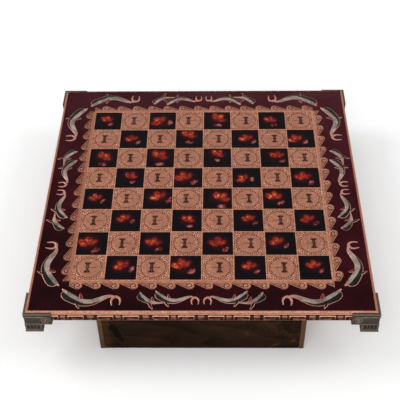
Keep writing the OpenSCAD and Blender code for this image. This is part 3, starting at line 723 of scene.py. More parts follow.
def makeField():
    # a light square is a height over its cell; a dark one leaves only bars round its resin
    side, top, flat = field["pitch"] / 2, field["barRise"], field["barHalf"]
    steps = spaced(-side, side, field["grid"])
    height, tone = lightSquare(*crossed(steps, steps))
    # bars round a dark square, from the middle of their top down to the sheet
    low = side - flat - 0.28
    ring = squareRing([(side, top), (side - flat * 0.6, top - 0.04), (side - flat, top - 0.14),
                       (side - flat - 0.22, top - 0.42), (low, 0.1), (low, -0.3), (side, -0.3)],
                      tone=[field["barTone"], 0.9, 0.75, 0.35, 0.05, 0.05, 0.3] * 4)
    pairs = [[] for _ in range(field["squares"] // 2)]      # two ranks in each piece
    for x, y, dark, rank in squares():
        if dark:
            part = moved(ring, shift=(x, y, floorZ))
        else:      # the axe's shaft points to the board's middle line
            part = reliefSlab(steps, steps, height, 0.3, onPlate(x, y, -1 if x > 0 else 1), tone=tone)
        pairs[rank // 2].append(part)
    for k, shells in enumerate(pairs):
        makePiece(f"fieldRanks{2 * k + 1}", shells, "case", "copper", copperField, "playing_plate")
    sheet = squareRing([(plateHalf, sheetZ), (plateHalf, floorZ - 0.3), (plateHalf - 0.3, floorZ),
                        (0.01, floorZ), (0.01, sheetZ)], tone=0.4)
    makePiece("plateSheet", [sheet], "case", "copper", copperField, "playing_plate")


makeField()
print("playing field done")


# dark resin squares

inlay = {
    "side": 40.4,
    "level": 0.35,          # above the sheet
    "meniscus": 0.22,       # how far the resin climbs at its edges
    "cells": 30,
    "shuffle": 11,          # start of the petals' random turns, shifts and sizes
    "spread": [0.5, 0.13, 0.10],     # of their turn in radians and their shifts in half sides
    "sizes": (0.9, 1.3),
}


def makeResin():
    # each inlay is level and climbs with the square of an eased ramp towards its edges;
    # the petals' coordinates turn, grow and shift at random from one inlay to the next
    rng = np.random.default_rng(inlay["shuffle"])
    side = inlay["side"]
    steps = np.linspace(-0.5, 0.5, inlay["cells"])
    steps = np.sign(steps) * (np.abs(steps) * 2) ** 0.7 / 2 * side     # closer together at the edges
    uu, vv = crossed(steps, steps)
    edge = side / 2 - highest(np.abs(uu), np.abs(vv))
    height = inlay["level"] + inlay["meniscus"] * ease(1.6, 0, edge) ** 2
    shells = []
    for x, y, dark, _ in squares():
        if not dark:
            continue
        turn, shiftU, shiftV = rng.normal(0, inlay["spread"])
        size = rng.uniform(*inlay["sizes"])
        pu = (uu * np.cos(turn) - vv * np.sin(turn)) / (side / 2) * size + shiftU
        pv = (uu * np.sin(turn) + vv * np.cos(turn)) / (side / 2) * size + shiftV
        # the third part is the distance from the edge, made larger near the front edge, for the painted
        # shade
        petal = np.stack([pu, pv, edge + 0.9 * ease(0, -12, vv)], -1)
        seed = np.full(uu.shape, rng.uniform(0, 1))
        shells.append(reliefSlab(steps, steps, height, 0, onPlate(x, y), petal=petal, seed=seed))
    makePiece("resinInlays", shells, "case", "resin", resin, "dark_squares")


makeResin()
print("resin inlays done")


# wave border

wave = {
    "count": 14,
    "strip": 4.6,         # plain strip inside the waves
    "reach": 10.4,
    "start": -0.49,       # where the first wave begins, in pitches
    "headAt": 0.87,       # middle of a head along its wave, in pitches
    "headShare": 0.58,    # a head's radius, in reaches
    "cut": 2.0,           # how far the band runs past the field at both ends
    "rise": 1.5,
    "overlap": 0.03,      # two of the sides lie that much higher where bands cross
    "spiralGap": 3.0,
    "paintedSideShade": (1.0, 1.0, 0.95, 0.78),   # painted shade: a factor on each side's tone, for the light on that side, from the front round to the left
    "grid": 0.45,
}


def turned(parts, turn, paintedSideShade, lift=0):
    # one side's parts, turned to their place, their tone times the painted shade of that side
    shells = [moved(part, quarterTurn(turn), (0, 0, lift)) for part in parts]
    for part in shells:
        part["marks"] = {"tone": part["marks"]["tone"] * paintedSideShade}
    return shells


def waveBand(s, o):
    # signed distance inside the band (strip, sloping back or round head), raised spirals, and heads
    pitch = fieldSide / wave["count"]
    radius = wave["reach"] * wave["headShare"]
    headO, headS = wave["reach"] - radius, wave["headAt"] * pitch
    reach = np.hypot(headS, headO)
    slope = np.arctan2(headO, headS) + np.arcsin(radius / reach)
    touch = np.sqrt(reach**2 - radius**2) * np.cos(slope)
    inside, raised, near = wave["strip"] - o, np.zeros_like(s), np.full_like(s, 99.0)
    for back in (0, 1):
        local = (s - wave["start"] * pitch) % pitch + back * pitch
        aside, above = local - headS, o - wave["strip"] - headO
        far = np.hypot(aside, above)
        rise = np.tan(slope) * np.clip(local, 0, touch)
        ramp = lowest((rise + wave["strip"] - o) * np.cos(slope), touch - local + 1)
        inside, near = highest(inside, radius - far, ramp), lowest(near, far)
        turn = np.arctan2(above, aside) / (2 * np.pi)
        arm = np.abs((far / wave["spiralGap"] + turn + 0.2) % 1 - 0.5) * wave["spiralGap"]
        swirl = ease(1.0, 0.5, arm) * ease(radius - 0.6, radius - 1.4, far)
        raised = highest(raised, swirl, ease(1.35, 0.9, far))
    inside = lowest(inside, s + wave["cut"], fieldSide + wave["cut"] - s)
    return inside, raised, ease(radius - 0.5, radius - 1.2, near)


def makeWaves():
    # a flat band whose height falls off at the signed distance 0, less the hollows and grooves on it
    s = spaced(-wave["cut"] - 0.6, fieldSide + wave["cut"] + 0.6, wave["grid"])
    o = spaced(0.0, wave["strip"] + wave["reach"] + 0.8, wave["grid"])
    ss, oo = crossed(s, o)
    inside, raised, head = waveBand(ss, oo)
    panel = ease(0.9, 1.4, inside) * ease(wave["strip"] - 0.6, wave["strip"] - 0.1, oo)
    line = ease(0.5, 0.2, np.abs(oo - 1.0)) + ease(0.5, 0.2, np.abs(oo - wave["strip"] + 0.9))
    hollow = panel * (1 - raised) * (0.5 + 0.5 * head)
    groove = highest(ease(0.55, 0.25, np.abs(inside - 1.7)) * panel * (1 - head),
                     (oo < wave["strip"]) * ease(0.3, 0.8, oo) * (1 - np.clip(line, 0, 1)) * 0.4)
    height = laid(-0.2, wave["rise"] * (1 - 0.26 * hollow - 0.12 * groove), ease(-0.35, 0.35, inside))
    tone = (0.92 - 0.80 * hollow - 0.5 * groove) * ease(-0.1, 0.6, inside)

    def place(u, v, h):
        return np.stack([u - fieldSide / 2, -fieldSide / 2 - v, floorZ + h], -1)
    band = reliefSlab(s, o, height, 0.3, place, tone=tone)
    # each side turned into place, with its painted shade
    for turn, name in enumerate(sideNames):
        shells = turned([band], turn, wave["paintedSideShade"][turn], wave["overlap"] * (turn % 2))
        makePiece(f"{name}Waves", shells, "case", "copper", copperField, "playing_plate")


makeWaves()
print("wave border done")


# enamel and dolphins

border = {
    "level": 0.9,           # above the sheet
    "meniscus": 0.35,
    "inside": 1.0,          # from the field's edge to the enamel's inner edge
    "outside": 3.05,        # from the frame's face to the enamel's outer edge
}


def makeEnamel():
    # a pool that is level and climbs with the square of an eased ramp to its outer edge
    inner, outer = fieldSide / 2 + border["inside"], half - border["outside"]
    climb = outer - np.array([1.6, 1.0, 0.5, 0.2, 0.0])
    out = np.concatenate([[inner], np.linspace(inner + 2, outer - 2.4, 12), climb])
    z = floorZ + border["level"] + border["meniscus"] * ease(2.0, 0, outer - out) ** 2
    profile = list(zip(out, z)) + [(outer, floorZ + 0.05), (inner, floorZ + 0.05)]
    makePiece("borderEnamelPool", [squareRing(profile)], "case", "enamel", enamel, "border_enamel")


makeEnamel()

dolphin = {
    # beak to tail along the border, in from the beak
    "single": [(0, 0), (10, -8.5), (24, -18), (37, -20), (48, -16), (58, -11.5), (65, -11), (69, -14)],
    "leader": [(0, 0), (5, -8), (10, -12.5), (16, -15.5), (23, -16.5), (31, -17)],
    "follower": [(0, 0), (7, -6.5), (15, -13), (25, -15), (33, -13), (40, -10), (46, -9), (50, -12)],
    # a fin's curve from its root, and its half width
    "fin": ([(0.8, -1), (0.2, 3), (-0.9, 6.5), (-1.2, 9.3)], 2.7),
    "flipper": ([(-2.2, 2), (-0.8, -2), (0.8, -5), (2.4, -8.2)], 2.4),
    "tail": ([(0.5, 2.4), (-3.8, -1), (-4.9, -6), (-3.4, -12.6)], 1.9),
    "tailFork": ([(-0.5, 2.4), (4.4, 0.2), (6.4, -5), (5.6, -11.8)], 1.9),
    "eye": [(0.62, -0.3), (0.6, 0.15), (0.42, 0.28), (0.2, 0.33)],
    "beak": (9.8, 14.5),       # beyond the field's corner, along and out
    # where a pair's beaks are: along the side, further out than the single one's, and up
    "leaderAt": (-78.0, 5.0, -0.12),
    "followerAt": (-58.5, 3.0, 0.0),
    "girth": 0.75,             # of the leader and the follower, against the single one
    "finsAt": {"single": 0.29, "leader": 0.6, "follower": 0.31},     # share of the length
    "eyeAt": 0.115,
    "wire": 0.8,               # width of a copper wire
    "nose": 0.05,              # the beak's share of the length
    "foot": 0.55,              # height of a dolphin's edge above the sheet
    "top": 1.82,
}


def backWidth(t):
    # a power of a half sine from the beak on, and a bell over the forehead
    past = np.clip((t - dolphin["nose"]) / (1 - dolphin["nose"]), 0, 1)
    return 8 * np.sin(np.pi * past**0.36) ** 1.1 + 0.8 + 2.0 * np.exp(-((t - 0.14) / 0.09) ** 2)


def bellyWidth(t):
    # a power of a half sine, fullest before the middle
    return 3 * np.sin(np.pi * np.clip(t, 0, 1) ** 0.65) ** 1.2 + 0.8


def leafShell(kind, line, left, right, height, ts, ss, filled=None):
    # point at (t, s) is curve(t) + normal(t) * s * width on that side; it crowns as sqrt(1 - s^2).
    # pewter fills the inner side, black-green the outer one, inside a wire that thins along the pewter;
    # a body is wire all over where filled is 0
    path = smoothCurve(line, ts)
    t, s, right = ts[:, None], ss[None, :], right[:, None]
    wide = np.where(s > 0, left[:, None], right)
    across, edge = s * wide, (1 - np.abs(s)) * wide
    share = 0.26 + 0.24 * ease(0.26, 0.40, t) + 0.65 * ease(0.46, 0.74, t)
    split = {"body": -share * right, "flipper": 99.0}.get(kind, -99.0)      # pewter lies beyond it
    thin, pale = (0.55, 0.55) if kind == "body" else (0.8, 1.0)
    pewter = across > split - 0.2
    wireWide = dolphin["wire"] * np.where(pewter, thin, 1.0)
    wire = ease(wireWide + 0.2, wireWide - 0.2, edge) * np.where(pewter, pale, 1.0)
    if kind == "body":
        seam = 0.30 * ease(0.25, 0.08, np.abs(across - split)) + 0.60 * ease(0.40, 0.85, t)
        wire = highest(wire, 0.95 - filled[:, None], seam)
    if kind.startswith("tail"):
        wire = highest(wire, 0.55 + 0.25 * t)
    crown = np.sqrt(np.clip(1 - 0.96 * s**2, 0, 1))
    rise = dolphin["foot"] + (height - dolphin["foot"]) * crown * (0.82 + 0.18 * wire)
    shape = path[:, None, :] + leftNormals(path)[:, None, :] * across[..., None]

    def place(u, v, h):
        at = shape[np.searchsorted(ts, u), np.searchsorted(ss, v)]
        return np.concatenate([at, (floorZ + h)[..., None]], -1)
    return reliefSlab(ts, ss, rise, 0.0, place, wire=wire, belly=ease(-0.1, 0.1, across - split),
                      fin=np.full(wire.shape, float(kind == "fin")))


def besideLine(line, t, step, off):
    # the point that far to the left of the curve at t
    near = smoothCurve(line, np.array([t - step, t, t + step]))
    return near[1] + off * leftNormals(near)[1]


def dolphinShells(name, shift, girth):
    # body, back fin, flipper and forked tail, each a tapering leaf along its own curve, and an eye
    line, top, finAt = dolphin[name], dolphin["top"], dolphin["finsAt"][name]
    hasTail = name != "leader"      # the follower covers its tail
    ts, ss = np.linspace(0, 1, 110 if hasTail else 60), np.linspace(-1, 1, 27)
    ss = np.sin(ss * np.pi / 2) * 0.6 + ss * 0.4       # closer together at the edges
    filled = ease(0.04, 0.09, ts) * (ease(0.86, 0.78, ts) if hasTail else 1)
    belly, back = girth * bellyWidth(ts), girth * backWidth(ts)
    shells = [leafShell("body", line, belly, back, top, ts, ss, filled)]
    short, narrow = np.linspace(0, 1, 26), np.linspace(-1, 1, 9)
    leaves = [("fin", besideLine(line, finAt, 0.01, girth * 2), girth),
              ("flipper", besideLine(line, finAt, 0.01, -girth * 5.5), 1.0)]
    if hasTail:
        leaves += [(kind, line[-1], (girth + 0.3) / 1.3) for kind in ("tail", "tailFork")]
    for kind, root, size in leaves:
        curve, width = dolphin[kind]
        wide = size * width * np.sqrt(1 - short) + 0.25
        curve = root + size * np.array(curve)
        shells.append(leafShell(kind, curve, wide, wide, top - 0.25, short, narrow))
    x, y = besideLine(line, dolphin["eyeAt"], 0.015, girth * 1.2)
    shells.append(lathe(dolphin["eye"], (x, y, floorZ + top - 0.16), 14, wire=0.0, belly=0.0, fin=0.0))
    return [moved(part, shift=shift) for part in shells]


def makeDolphins():
    # one dolphin and one pair, mirrored and turned round the four corners and sides
    x, y = (-fieldSide / 2 - offset for offset in dolphin["beak"])
    single, pair = dolphinShells("single", (x, y, 0), 1.0), []
    for name in ("leader", "follower"):
        along, out, up = dolphin[f"{name}At"]
        pair += dolphinShells(name, (along, y - out, up), dolphin["girth"])
    for name, parts, node in (("cornerDolphinRelief", single, "corner_dolphins"),
                              ("middleDolphinRelief", pair, "middle_dolphins")):
        shells = [moved(part, quarterTurn(turn, flip))
                  for turn in range(4) for flip in (False, True) for part in parts]
        makePiece(name, shells, "case", "dolphin_metal", dolphinMetal, node, 60)


makeDolphins()
print("enamel and dolphins done")


# frame rails

rail = {
    "wall": 3.0,
    "ledge": 9.0,
    "ledgeRise": 3.5,        # top of the ledge, above the rail's foot
    "bandFoot": 1.2,         # plain edge under the fret
    "moulding": 5.2,
    "fretDepth": 0.9,
    "line": 1.7,
    "keyDrop": 2.6,          # from the moulding down to the keys
    "keyWidth": 21.0,
    "keyAt": 0.23,           # middle of a key from its pair's middle, in pitches of the pairs
    "hook": 0.56,            # height of a key's inner hook, in heights of the key
    "paintedKeyLight": (4.2, 6.8),  # painted light: heights over the band's foot between which the keys get lighter towards their tops
    "paintedMouldingShadow": (8.1, 8.8),  # and where the painted shadow under the moulding sets in
    "pairPitch": 69.5,
    "bandEnd": 190.0,
    "paintedSideShade": (1.0, 0.72, 0.30, 0.70),   # painted shade: a factor on each rail's tone, for the light on that side, from the front round to the left
    "grid": 0.42,
}


def fretDistance(x, z, bandHeight):
    # distance inside the nearest bar of the keys and the nearest block, folded about each pair's middle
    w, keyH, p = rail["line"], bandHeight - rail["keyDrop"], rail["pairPitch"]
    fold = np.abs((x % p) - p / 2)      # 0 at a pair's middle, p / 2 in the gap between pairs
    k = fold - rail["keyAt"] * p        # across one key
    side, hook = rail["keyWidth"] / 2, rail["hook"] * keyH
    bars = [(-side, side, keyH - w, keyH), (-side, w - side, -1, keyH), (side - w, side, -1, keyH),
            (-side / 2, side, -1, w * 0.8), (-side / 2, w - side / 2, -1, hook),
            (-side / 2, side / 4, hook - w, hook)]
    keys = highest(*(lowest(k - x0, x1 - k, z - z0, z1 - z) for x0, x1, z0, z1 in bars))
    blocks = highest(lowest(side / 3 - fold, keyH - z), side / 2.5 - (p / 2 - fold))
    return keys, blocks


def railBody(floorOut, bandLow, bandHigh):
    # ledge, foot edge, hollow for the fret, step, cove, bead and rim, as (distance out, height, tone)
    wallIn, ledgeIn = half - rail["wall"], half - rail["wall"] - rail["ledge"]
    ledgeTop = railFootZ + rail["ledgeRise"]
    section = [(ledgeIn, ledgeTop, 0.3), (ledgeIn, railFootZ, 0.3), (half - 0.7, railFootZ, 0.5),
               (half - 0.2, railFootZ + 0.2, 0.6), (half, railFootZ + 0.6, 0.6), (half, bandLow, 0.4),
               (floorOut, bandLow, 0.1), (floorOut, bandHigh, 0.0), (floorOut - 0.1, bandHigh + 0.1, 0.0),
               (half - 0.5, bandHigh + 0.3, 0.1), (half - 0.1, bandHigh + 0.45, 1.0),
               (half, bandHigh + 0.9, 1.2), (half - 0.05, bandHigh + 2.7, 1.0),
               (half - 0.4, bandHigh + 3.1, 0.4), (half - 0.4, bandHigh + 3.5, 0.35),
               (half - 0.05, rimZ - 1.1, 0.8), (half, rimZ - 0.8, 0.9), (half - 0.1, rimZ - 0.4, 0.9),
               (half - 0.45, rimZ - 0.08, 0.9), (half - 1.1, rimZ, 0.9), (half - 1.6, rimZ - 0.02, 0.82),
               (wallIn + 0.35, rimZ - 0.15, 0.82), (wallIn, rimZ - 0.55, 0.4), (wallIn, ledgeTop, 0.2)]
    out, z, tone = np.array(section).T
    ends = np.array([-1.0, 1.0])[:, None]
    verts = np.stack(np.broadcast_arrays(ends * out, -out, z), -1)
    return shell(verts, sectionFaces(2, len(out)), tone=np.tile(tone, 2))


def makeRails():
    # the fret stands out by eased steps of the distance inside its bars
    bandLow, bandHigh = railFootZ + rail["bandFoot"], rimZ - rail["moulding"]
    floorOut = half - rail["fretDepth"]
    x = spaced(-rail["bandEnd"], rail["bandEnd"], rail["grid"])
    z = spaced(0, bandHigh - bandLow, rail["grid"])
    xx, zz = crossed(x, z)
    keys, blocks = fretDistance(xx, zz, bandHigh - bandLow)
    inside = highest(keys, blocks)
    lines, top = ease(-0.12, 0.42, inside), ease(0.35, 0.75, inside)
    # painted light: keys are lighter near their tops and darker below, blocks are darker, and a painted
    # shadow line runs under the moulding
    bright = (0.20 + 1.25 * ease(*rail["paintedKeyLight"], zz)) * lines + 0.1 * top
    tone = (0.12 + (1 - 0.6 * ease(-0.12, 0.42, blocks)) * bright
            - 0.35 * ease(*rail["paintedMouldingShadow"], zz))

    def place(u, v, h):
        return np.stack([u, -(floorOut + h), bandLow + v], -1)
    height = rail["fretDepth"] * (0.02 + 0.9 * lines + 0.07 * top)
    fret = reliefSlab(x, z, height, 0.4, place, tone=tone)
    parts = [railBody(floorOut, bandLow, bandHigh), fret]
    # each rail turned into place, with its painted shade
    for turn, name in enumerate(sideNames):
        shells = turned(parts, turn, rail["paintedSideShade"][turn])
        makePiece(f"{name}FretRail", shells, "case", "copper", copperFrame, f"{name}_rail", 45)


makeRails()
print("rails done")


# corner feet

foot = {
    "cap": 2.5,             # wall outside the rail
    "wing": 34.5,
    "capFoot": railFootZ - 4.3,
    "capTop": rimZ - 1.3,
    "shelf": 14.0,
    "voluteRadius": 6.3,
    "voluteRise": 0.8,
    "voluteUp": 0.42,       # middle of the volute, in heights of the cap
    "block": 21.5,
    "blockOut": 0.6,        # how far the block stands out past the cap
    "sole": railFootZ - 21.5,    # underside of the clear pads
    "pad": 2.0,
    "padProfile": [(6.6, 0.0), (7.3, 0.15), (7.7, 0.7), (7.7, 1.5), (7.4, 1.95), (7.0, 2.05)],
    "plinth": 3.4,
    "plinthOut": 0.8,
    "flutes": 4,
    "fluteSpan": 0.8,       # share of a side's half that is fluted
    "fluteDepth": 1.3,
    "grid": 0.36,
}
capOut, capTall = half + foot["cap"], foot["capTop"] - foot["capFoot"]


def wingRelief(s, z):
    # height of the volute, its sweeping band and the edge beads, from the corner along s and up z
    radius = foot["voluteRadius"]
    cx, cz = foot["wing"] - radius - 1.2, capTall * foot["voluteUp"]
    r = np.hypot(s - cx, z - cz)
    a = np.arctan2(z - cz, s - cx) / (2 * np.pi)
    gap = radius / 2.3
    arm = np.abs((r / gap + a + 0.25) % 1 - 0.5) * gap
    spiral = ease(0.85, 0.35, arm) * ease(radius + 0.5, radius - 0.1, r)
    sweepZ = cz + radius - 0.6 + (capTall - 4.6 - cz - radius) * np.clip((cx - s) / (cx - 2), 0, 1)
    sweep = ease(0.9, 0.45, np.abs(z - sweepZ)) * (s < cx)
    bead = highest(ease(capTall - 1.9, capTall - 1.4, z), ease(1.5, 1.0, z))
    endBead = ease(foot["wing"] - 1.0, foot["wing"] - 0.5, s)
    return highest(spiral, ease(1.5, 1.0, r), sweep, bead * 0.75, endBead * 0.5)


def capShell():
    # the section runs up the outer face, over the top and back along the rail and the shelf under it
    face = spaced(0, capTall, foot["grid"])
    under = railFootZ - foot["capFoot"]
    loop = [(foot["cap"] - 0.3, capTall), (0, capTall), (0, under), (-foot["shelf"], under),
            (-foot["shelf"], 0), (foot["cap"] - 0.3, 0)]
    out, z = np.array([(foot["cap"], level) for level in face] + loop).T
    number = np.arange(len(out))
    onFace, onTop = number < len(face), (number >= len(face)) & (number < len(face) + 2)
    q = spaced(0, 1, foot["grid"] / foot["wing"])[:, None]

    def along(out):
        # from the wing's end, where q is 0, to the mitre
        return -(capOut - foot["wing"]) * (1 - q) - (half + out) * q
    relief = wingRelief(capOut + along(out), z) * onFace
    push = out + relief * foot["voluteRise"]
    wing = np.stack(np.broadcast_arrays(along(push), -(half + push), z + foot["capFoot"]), -1)
    verts = np.concatenate([wing, wing[::-1, :, [1, 0, 2]][1:]])      # the other wing is its mirror
    tone = 0.30 + 0.6 * relief + 0.2 * onTop
    tone = np.concatenate([tone, tone[::-1][1:]])
    return shell(verts, sectionFaces(*tone.shape), tone=tone.ravel())


def blockShell():
    # a square section with round flutes, on a plinth whose edge is half a circle
    top, low = foot["capFoot"] + 0.2, foot["sole"] + foot["pad"]
    t = spaced(-1, 1, 0.035)[:-1]
    r = foot["plinth"] / 2
    bend = np.linspace(-np.pi / 2, np.pi / 2, 13)
    z = np.concatenate([low + r + r * np.sin(bend), low + 2 * r + np.array([0.1, 0.35]),
                        spaced(low + 4.2, top, 0.5)])
    swell = np.zeros(len(z))
    swell[:15] = *(foot["plinthOut"] - r + r * np.cos(bend)), 0.15, 0.0
    width = 2 * foot["fluteSpan"] / foot["flutes"]
    phase = (t + foot["fluteSpan"]) % width / width - 0.5
    cut = np.where(np.abs(t) < foot["fluteSpan"], np.sqrt(np.clip(1 - (phase / 0.36) ** 2, 0, 1)), 0)
    flute = cut[:, None] * (ease(low + 4.6, low + 5.6, z) * ease(top - 1.4, top - 2.4, z))
    size = foot["block"] / 2 + swell
    side = np.stack(np.broadcast_arrays(t[:, None] * size, foot["fluteDepth"] * flute - size, z), -1)
    verts = np.concatenate([side @ quarterTurn(turn).T for turn in range(4)])
    tone = np.tile(0.62 - 0.5 * flute, (4, 1))
    return shell(verts, columnFaces(*tone.shape), tone=tone.ravel())


def makeFeet():
    # one cap and one block, turned round the four corners, over turned pads
    at = capOut + foot["blockOut"] - foot["block"] / 2
    parts = [capShell(), moved(blockShell(), shift=(-at, -at, 0))]
    for turn, name in enumerate(("front_left", "front_right", "back_right", "back_left")):
        shells = [moved(part, quarterTurn(turn)) for part in parts]
        title = name.title().replace("_", "")
        makePiece(f"foot{title}", shells, "case", "bronze", bronze, f"foot_{name}", 40)
    pads = [lathe(foot["padProfile"], (x, y, foot["sole"]), 36) for x in (-at, at) for y in (-at, at)]
    makePiece("clearFootPads", pads, "case", "clear_pad", clearPad, "foot_pads")


makeFeet()
print("corner feet done")


# wooden box and drawers

box = {
    "ledgeGap": 0.2,         # between the side panels' tongue and the rails' ledge
    "sideEdge": 0.6,         # width of the eased edges
    "padRadius": 8.0,
    "padEdge": [(-0.7, 0), (-0.15, 0.15), (0, 0.5), (-0.1, 0.95), (-0.3, 1.0)],     # from the radius
}
drawer = {
    "faceEdge": 0.7,         # widths of the eased edges
    "sideEdge": 0.35,
    "backEdge": 0.4,
    "grooveGap": 0.4,        # round the runner
    "grooveDepth": 4.0,
    "feltGrid": 2.5,
}


def plank(name, outline, axis, ends, edge, *rest):
    # a flat outline carried straight along X or Y, with its edges eased that wide
    a, b = np.asarray(outline, float).T
    run = np.broadcast_to(np.array(ends)[:, None], (2, len(a)))
    a, b = np.broadcast_to(a, run.shape), np.broadcast_to(b, run.shape)
    verts = np.stack([run, a, b] if axis == "x" else [a, run, b], -1)
    piece = makePiece(name, [shell(verts, sectionFaces(*run.shape))], *rest, 30)
    soften = piece.modifiers.new("softEdges", "BEVEL")
    soften.width = edge * mm
    soften.segments = 3
    soften.limit_method = "ANGLE"
    soften.harden_normals = True


def makeCarcass():
    # side panels with a tongue up inside the rails, on turned felt pads
    ledgeIn = half - rail["wall"] - rail["ledge"] - box["ledgeGap"]
    for side in ("left", "right"):
        low, high = boxOf(f"box_side_{side}")
        outline = [(low[1], low[2]), (high[1], low[2]), (high[1], railFootZ), (ledgeIn, railFootZ),
                   (ledgeIn, high[2]), (-ledgeIn, high[2]), (-ledgeIn, railFootZ), (low[1], railFootZ)]
        plank(f"boxSide{side.title()}Panel", outline, "x", (low[0], high[0]), box["sideEdge"],
              "case", "walnut", walnutSide, f"box_side_{side}")
    low, high = boxOf("box_pads")
    radius = box["padRadius"]
    pads = [lathe([(radius + out, z) for out, z in box["padEdge"]], (x, y, 0), 32)
            for x in (low[0] + radius, high[0] - radius) for y in (low[1] + radius, 0, high[1] - radius)]
    makePiece("boxFeltPads", pads, "case", "felt", padFelt, "box_pads")


def makeDrawer(which, out):
    # face, grooved sides and back, as planks; out is -1 for the front drawer, which slides towards -Y,
    # and 1 for the back one
    body = f"{which}_drawer"
    low, high = boxOf(f"{body}_face")
    front, back = (low[1], high[1]) if out < 0 else (high[1], low[1])
    bevel = abs(front - back) / 2
    outline = [(front, low[2]), (back, low[2]), (back, high[2] - bevel), (back + out * bevel, high[2]),
               (front, high[2])]
    plank(f"{which}DrawerFront", outline, "x", (low[0], high[0]), drawer["faceEdge"],
          body, "walnut", walnutFace, f"{body}_face")
    runnerLow, runnerHigh = boxOf("drawer_runners")
    grooveLow, grooveHigh = runnerLow[2] - drawer["grooveGap"], runnerHigh[2] + drawer["grooveGap"]
    for side, sign in (("left", -1), ("right", 1)):
        low, high = boxOf(f"{body}_side_{side}")
        outer, inner = (low[0], high[0]) if sign < 0 else (high[0], low[0])
        deep = outer - sign * drawer["grooveDepth"]
        outline = [(outer, low[2]), (outer, grooveLow), (deep, grooveLow), (deep, grooveHigh),
                   (outer, grooveHigh), (outer, high[2]), (inner, high[2]), (inner, low[2])]
        plank(f"{which}DrawerSide{side.title()}", outline, "y", (low[1], high[1]), drawer["sideEdge"],
              body, "drawer_wood", walnutTray, f"{body}_side_{side}")
    low, high = boxOf(f"{body}_back")
    outline = [(low[1], low[2]), (high[1], low[2]), (high[1], high[2]), (low[1], high[2])]
    plank(f"{which}DrawerBack", outline, "x", (low[0], high[0]), drawer["backEdge"],
          body, "drawer_wood", walnutTrayAcross, f"{body}_back")
    makeFelt(which, body, out)


def makeFelt(which, body, phase):
    # the felt lies almost flat: slow ripples, thinner where it was rubbed down at the edges
    low, high = boxOf(f"{body}_lining")
    x, y = (spaced(low[k], high[k], drawer["feltGrid"]) for k in (0, 1))
    xx, yy = crossed(x, y)
    edge = lowest(xx - low[0], high[0] - xx, yy - low[1], high[1] - yy)
    ripple = 0.10 * np.sin(xx / 23 + phase) * np.sin(yy / 31) + 0.08 * np.sin((xx + yy) / 13)
    height = (high[2] - low[2]) * (0.80 + ripple - 0.25 * ease(4, 0, edge))

    def place(u, v, h):
        return np.stack([u, v, low[2] + h], -1)
    shells = [reliefSlab(x, y, height, 0, place)]
    felt = makePiece(f"{which}DrawerFelt", shells, body, "felt", burgundyFelt, f"{body}_lining")


makeCarcass()
makeDrawer("front", -1)
makeDrawer("back", 1)
print("box and drawers done")


def dress(material, *nodes):
    # gives CAD nodes that keep their shape their finish
    for node in nodes:
        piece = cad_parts[node]
        piece.data.materials.clear()
        piece.data.materials.append(material)


dress(boardCore, "base_board")
dress(plywood, "box_top", "box_bottom", "front_drawer_bottom", "back_drawer_bottom")
dress(beech, "box_partition", "drawer_runners", "front_drawer_dowels", "back_drawer_dowels")
dress(zinc, "rail_screws", "foot_screws", "box_screws", "stop_pins")
print("plain parts dressed")


# floor, light and camera

studio = {
    "floorRadius": 6.0,
    "floorColour": (0.92, 0.92, 0.92),
    "fade": (0.6, 2.2),      # the camera sees the floor fade into white between these distances
    "world": 0.55,
    "softboxes": [   # place, width, height and watts; each aims at the middle
        ((-1.9, 0.5, 1.7), 1.2, 1.2, 22),
        ((1.9, 0.1, 1.6), 1.2, 1.2, 14),
        ((-0.3, -1.9, 1.9), 1.6, 0.8, 14),
    ],
}
view = {
    # place in metres, angles in degrees, focal length in widths of the picture
    "place": (0.0177, -0.8649, 0.9415),
    "yaw": -1.4494, "pitch": 45.6085, "roll": -1.1407,
    "focal": 857.26 / 400,
    "sensor": 36,
}


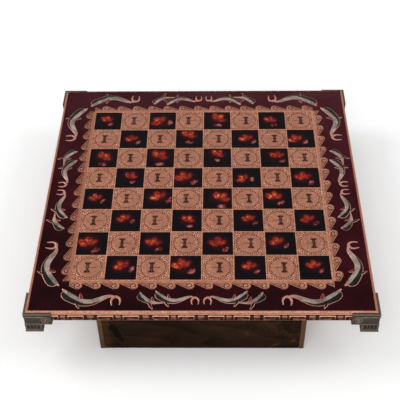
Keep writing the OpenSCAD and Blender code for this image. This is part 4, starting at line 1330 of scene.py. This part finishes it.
def makeFloor():
    # a disc that glows, for the camera, from a fifth to all of its light with the distance
    f = Finish("paleFloor")
    tint = f.mix(f.noise(6, 2), studio["floorColour"], toned(studio["floorColour"], 0.995))
    seen = f.node("LightPath", output="Is Camera Ray")
    far = f.node("VectorMath", {"operation": "LENGTH"}, {0: f.where}, output="Value")
    glow = seen * (0.22 + far.between(*studio["fade"]) * 0.78)
    paint = f.surface(baseColor=tint, roughness=0.9, specular=0.1, emission=glow, emissionStrength=0.6)
    a = np.linspace(0, 2 * np.pi, 64, endpoint=False)
    mesh = bpy.data.meshes.new("floor")
    verts = np.stack([np.cos(a), np.sin(a), a * 0], -1) * studio["floorRadius"]
    mesh.from_pydata(verts, [], [np.arange(64)])
    mesh.materials.append(paint)
    added("floor", mesh)


def makeLights():
    # every ray but those that light the scene sees a plain white world
    world = bpy.data.worlds.new("studio")
    bpy.context.scene.world = world
    f = Finish("studio", world)
    path = f.node("LightPath", output="Is Camera Ray")
    seen = path.most(f.other(path, "Is Transmission Ray")).most(f.other(path, "Is Glossy Ray"))
    strength = f.node("MapRange", sockets={"Value": seen, "To Min": studio["world"], "To Max": 1.0})
    light = f.node("Background", sockets={"Color": (1, 1, 1), "Strength": strength})
    f.node("OutputWorld", sockets={"Surface": light})
    for k, (place, width, tall, watts) in enumerate(studio["softboxes"]):
        lamp = bpy.data.lights.new(f"softbox{k}", "AREA")
        lamp.shape = "RECTANGLE"
        lamp.size, lamp.size_y, lamp.energy = width, tall, watts
        holder = added(f"softbox{k}", lamp)
        holder.location = place
        holder.rotation_euler = (-Vector(place)).to_track_quat("-Z", "Y").to_euler()


def makeCamera():
    # looks along the yaw and down by the pitch, then leans about that line by the roll
    yaw, pitch, roll = (math.radians(view[k]) for k in ("yaw", "pitch", "roll"))
    ahead = Vector((math.sin(yaw) * math.cos(pitch), math.cos(yaw) * math.cos(pitch), -math.sin(pitch)))
    level = Vector((math.cos(yaw), -math.sin(yaw), 0))
    up = level.cross(ahead)
    right = level * math.cos(roll) + up * math.sin(roll)
    up = up * math.cos(roll) - level * math.sin(roll)
    data = bpy.data.cameras.new("camera")
    data.sensor_width = view["sensor"]
    data.lens = view["sensor"] * view["focal"]
    data.sensor_fit = "HORIZONTAL"
    data.clip_end = 50
    camera = added("camera", data)
    turn = Matrix((right, up, -ahead)).transposed()
    camera.matrix_world = Matrix.Translation(view["place"]) @ turn.to_4x4()
    bpy.context.scene.camera = camera


makeFloor()
makeLights()
makeCamera()
bpy.context.scene.view_settings.view_transform = "Standard"
print("studio done")
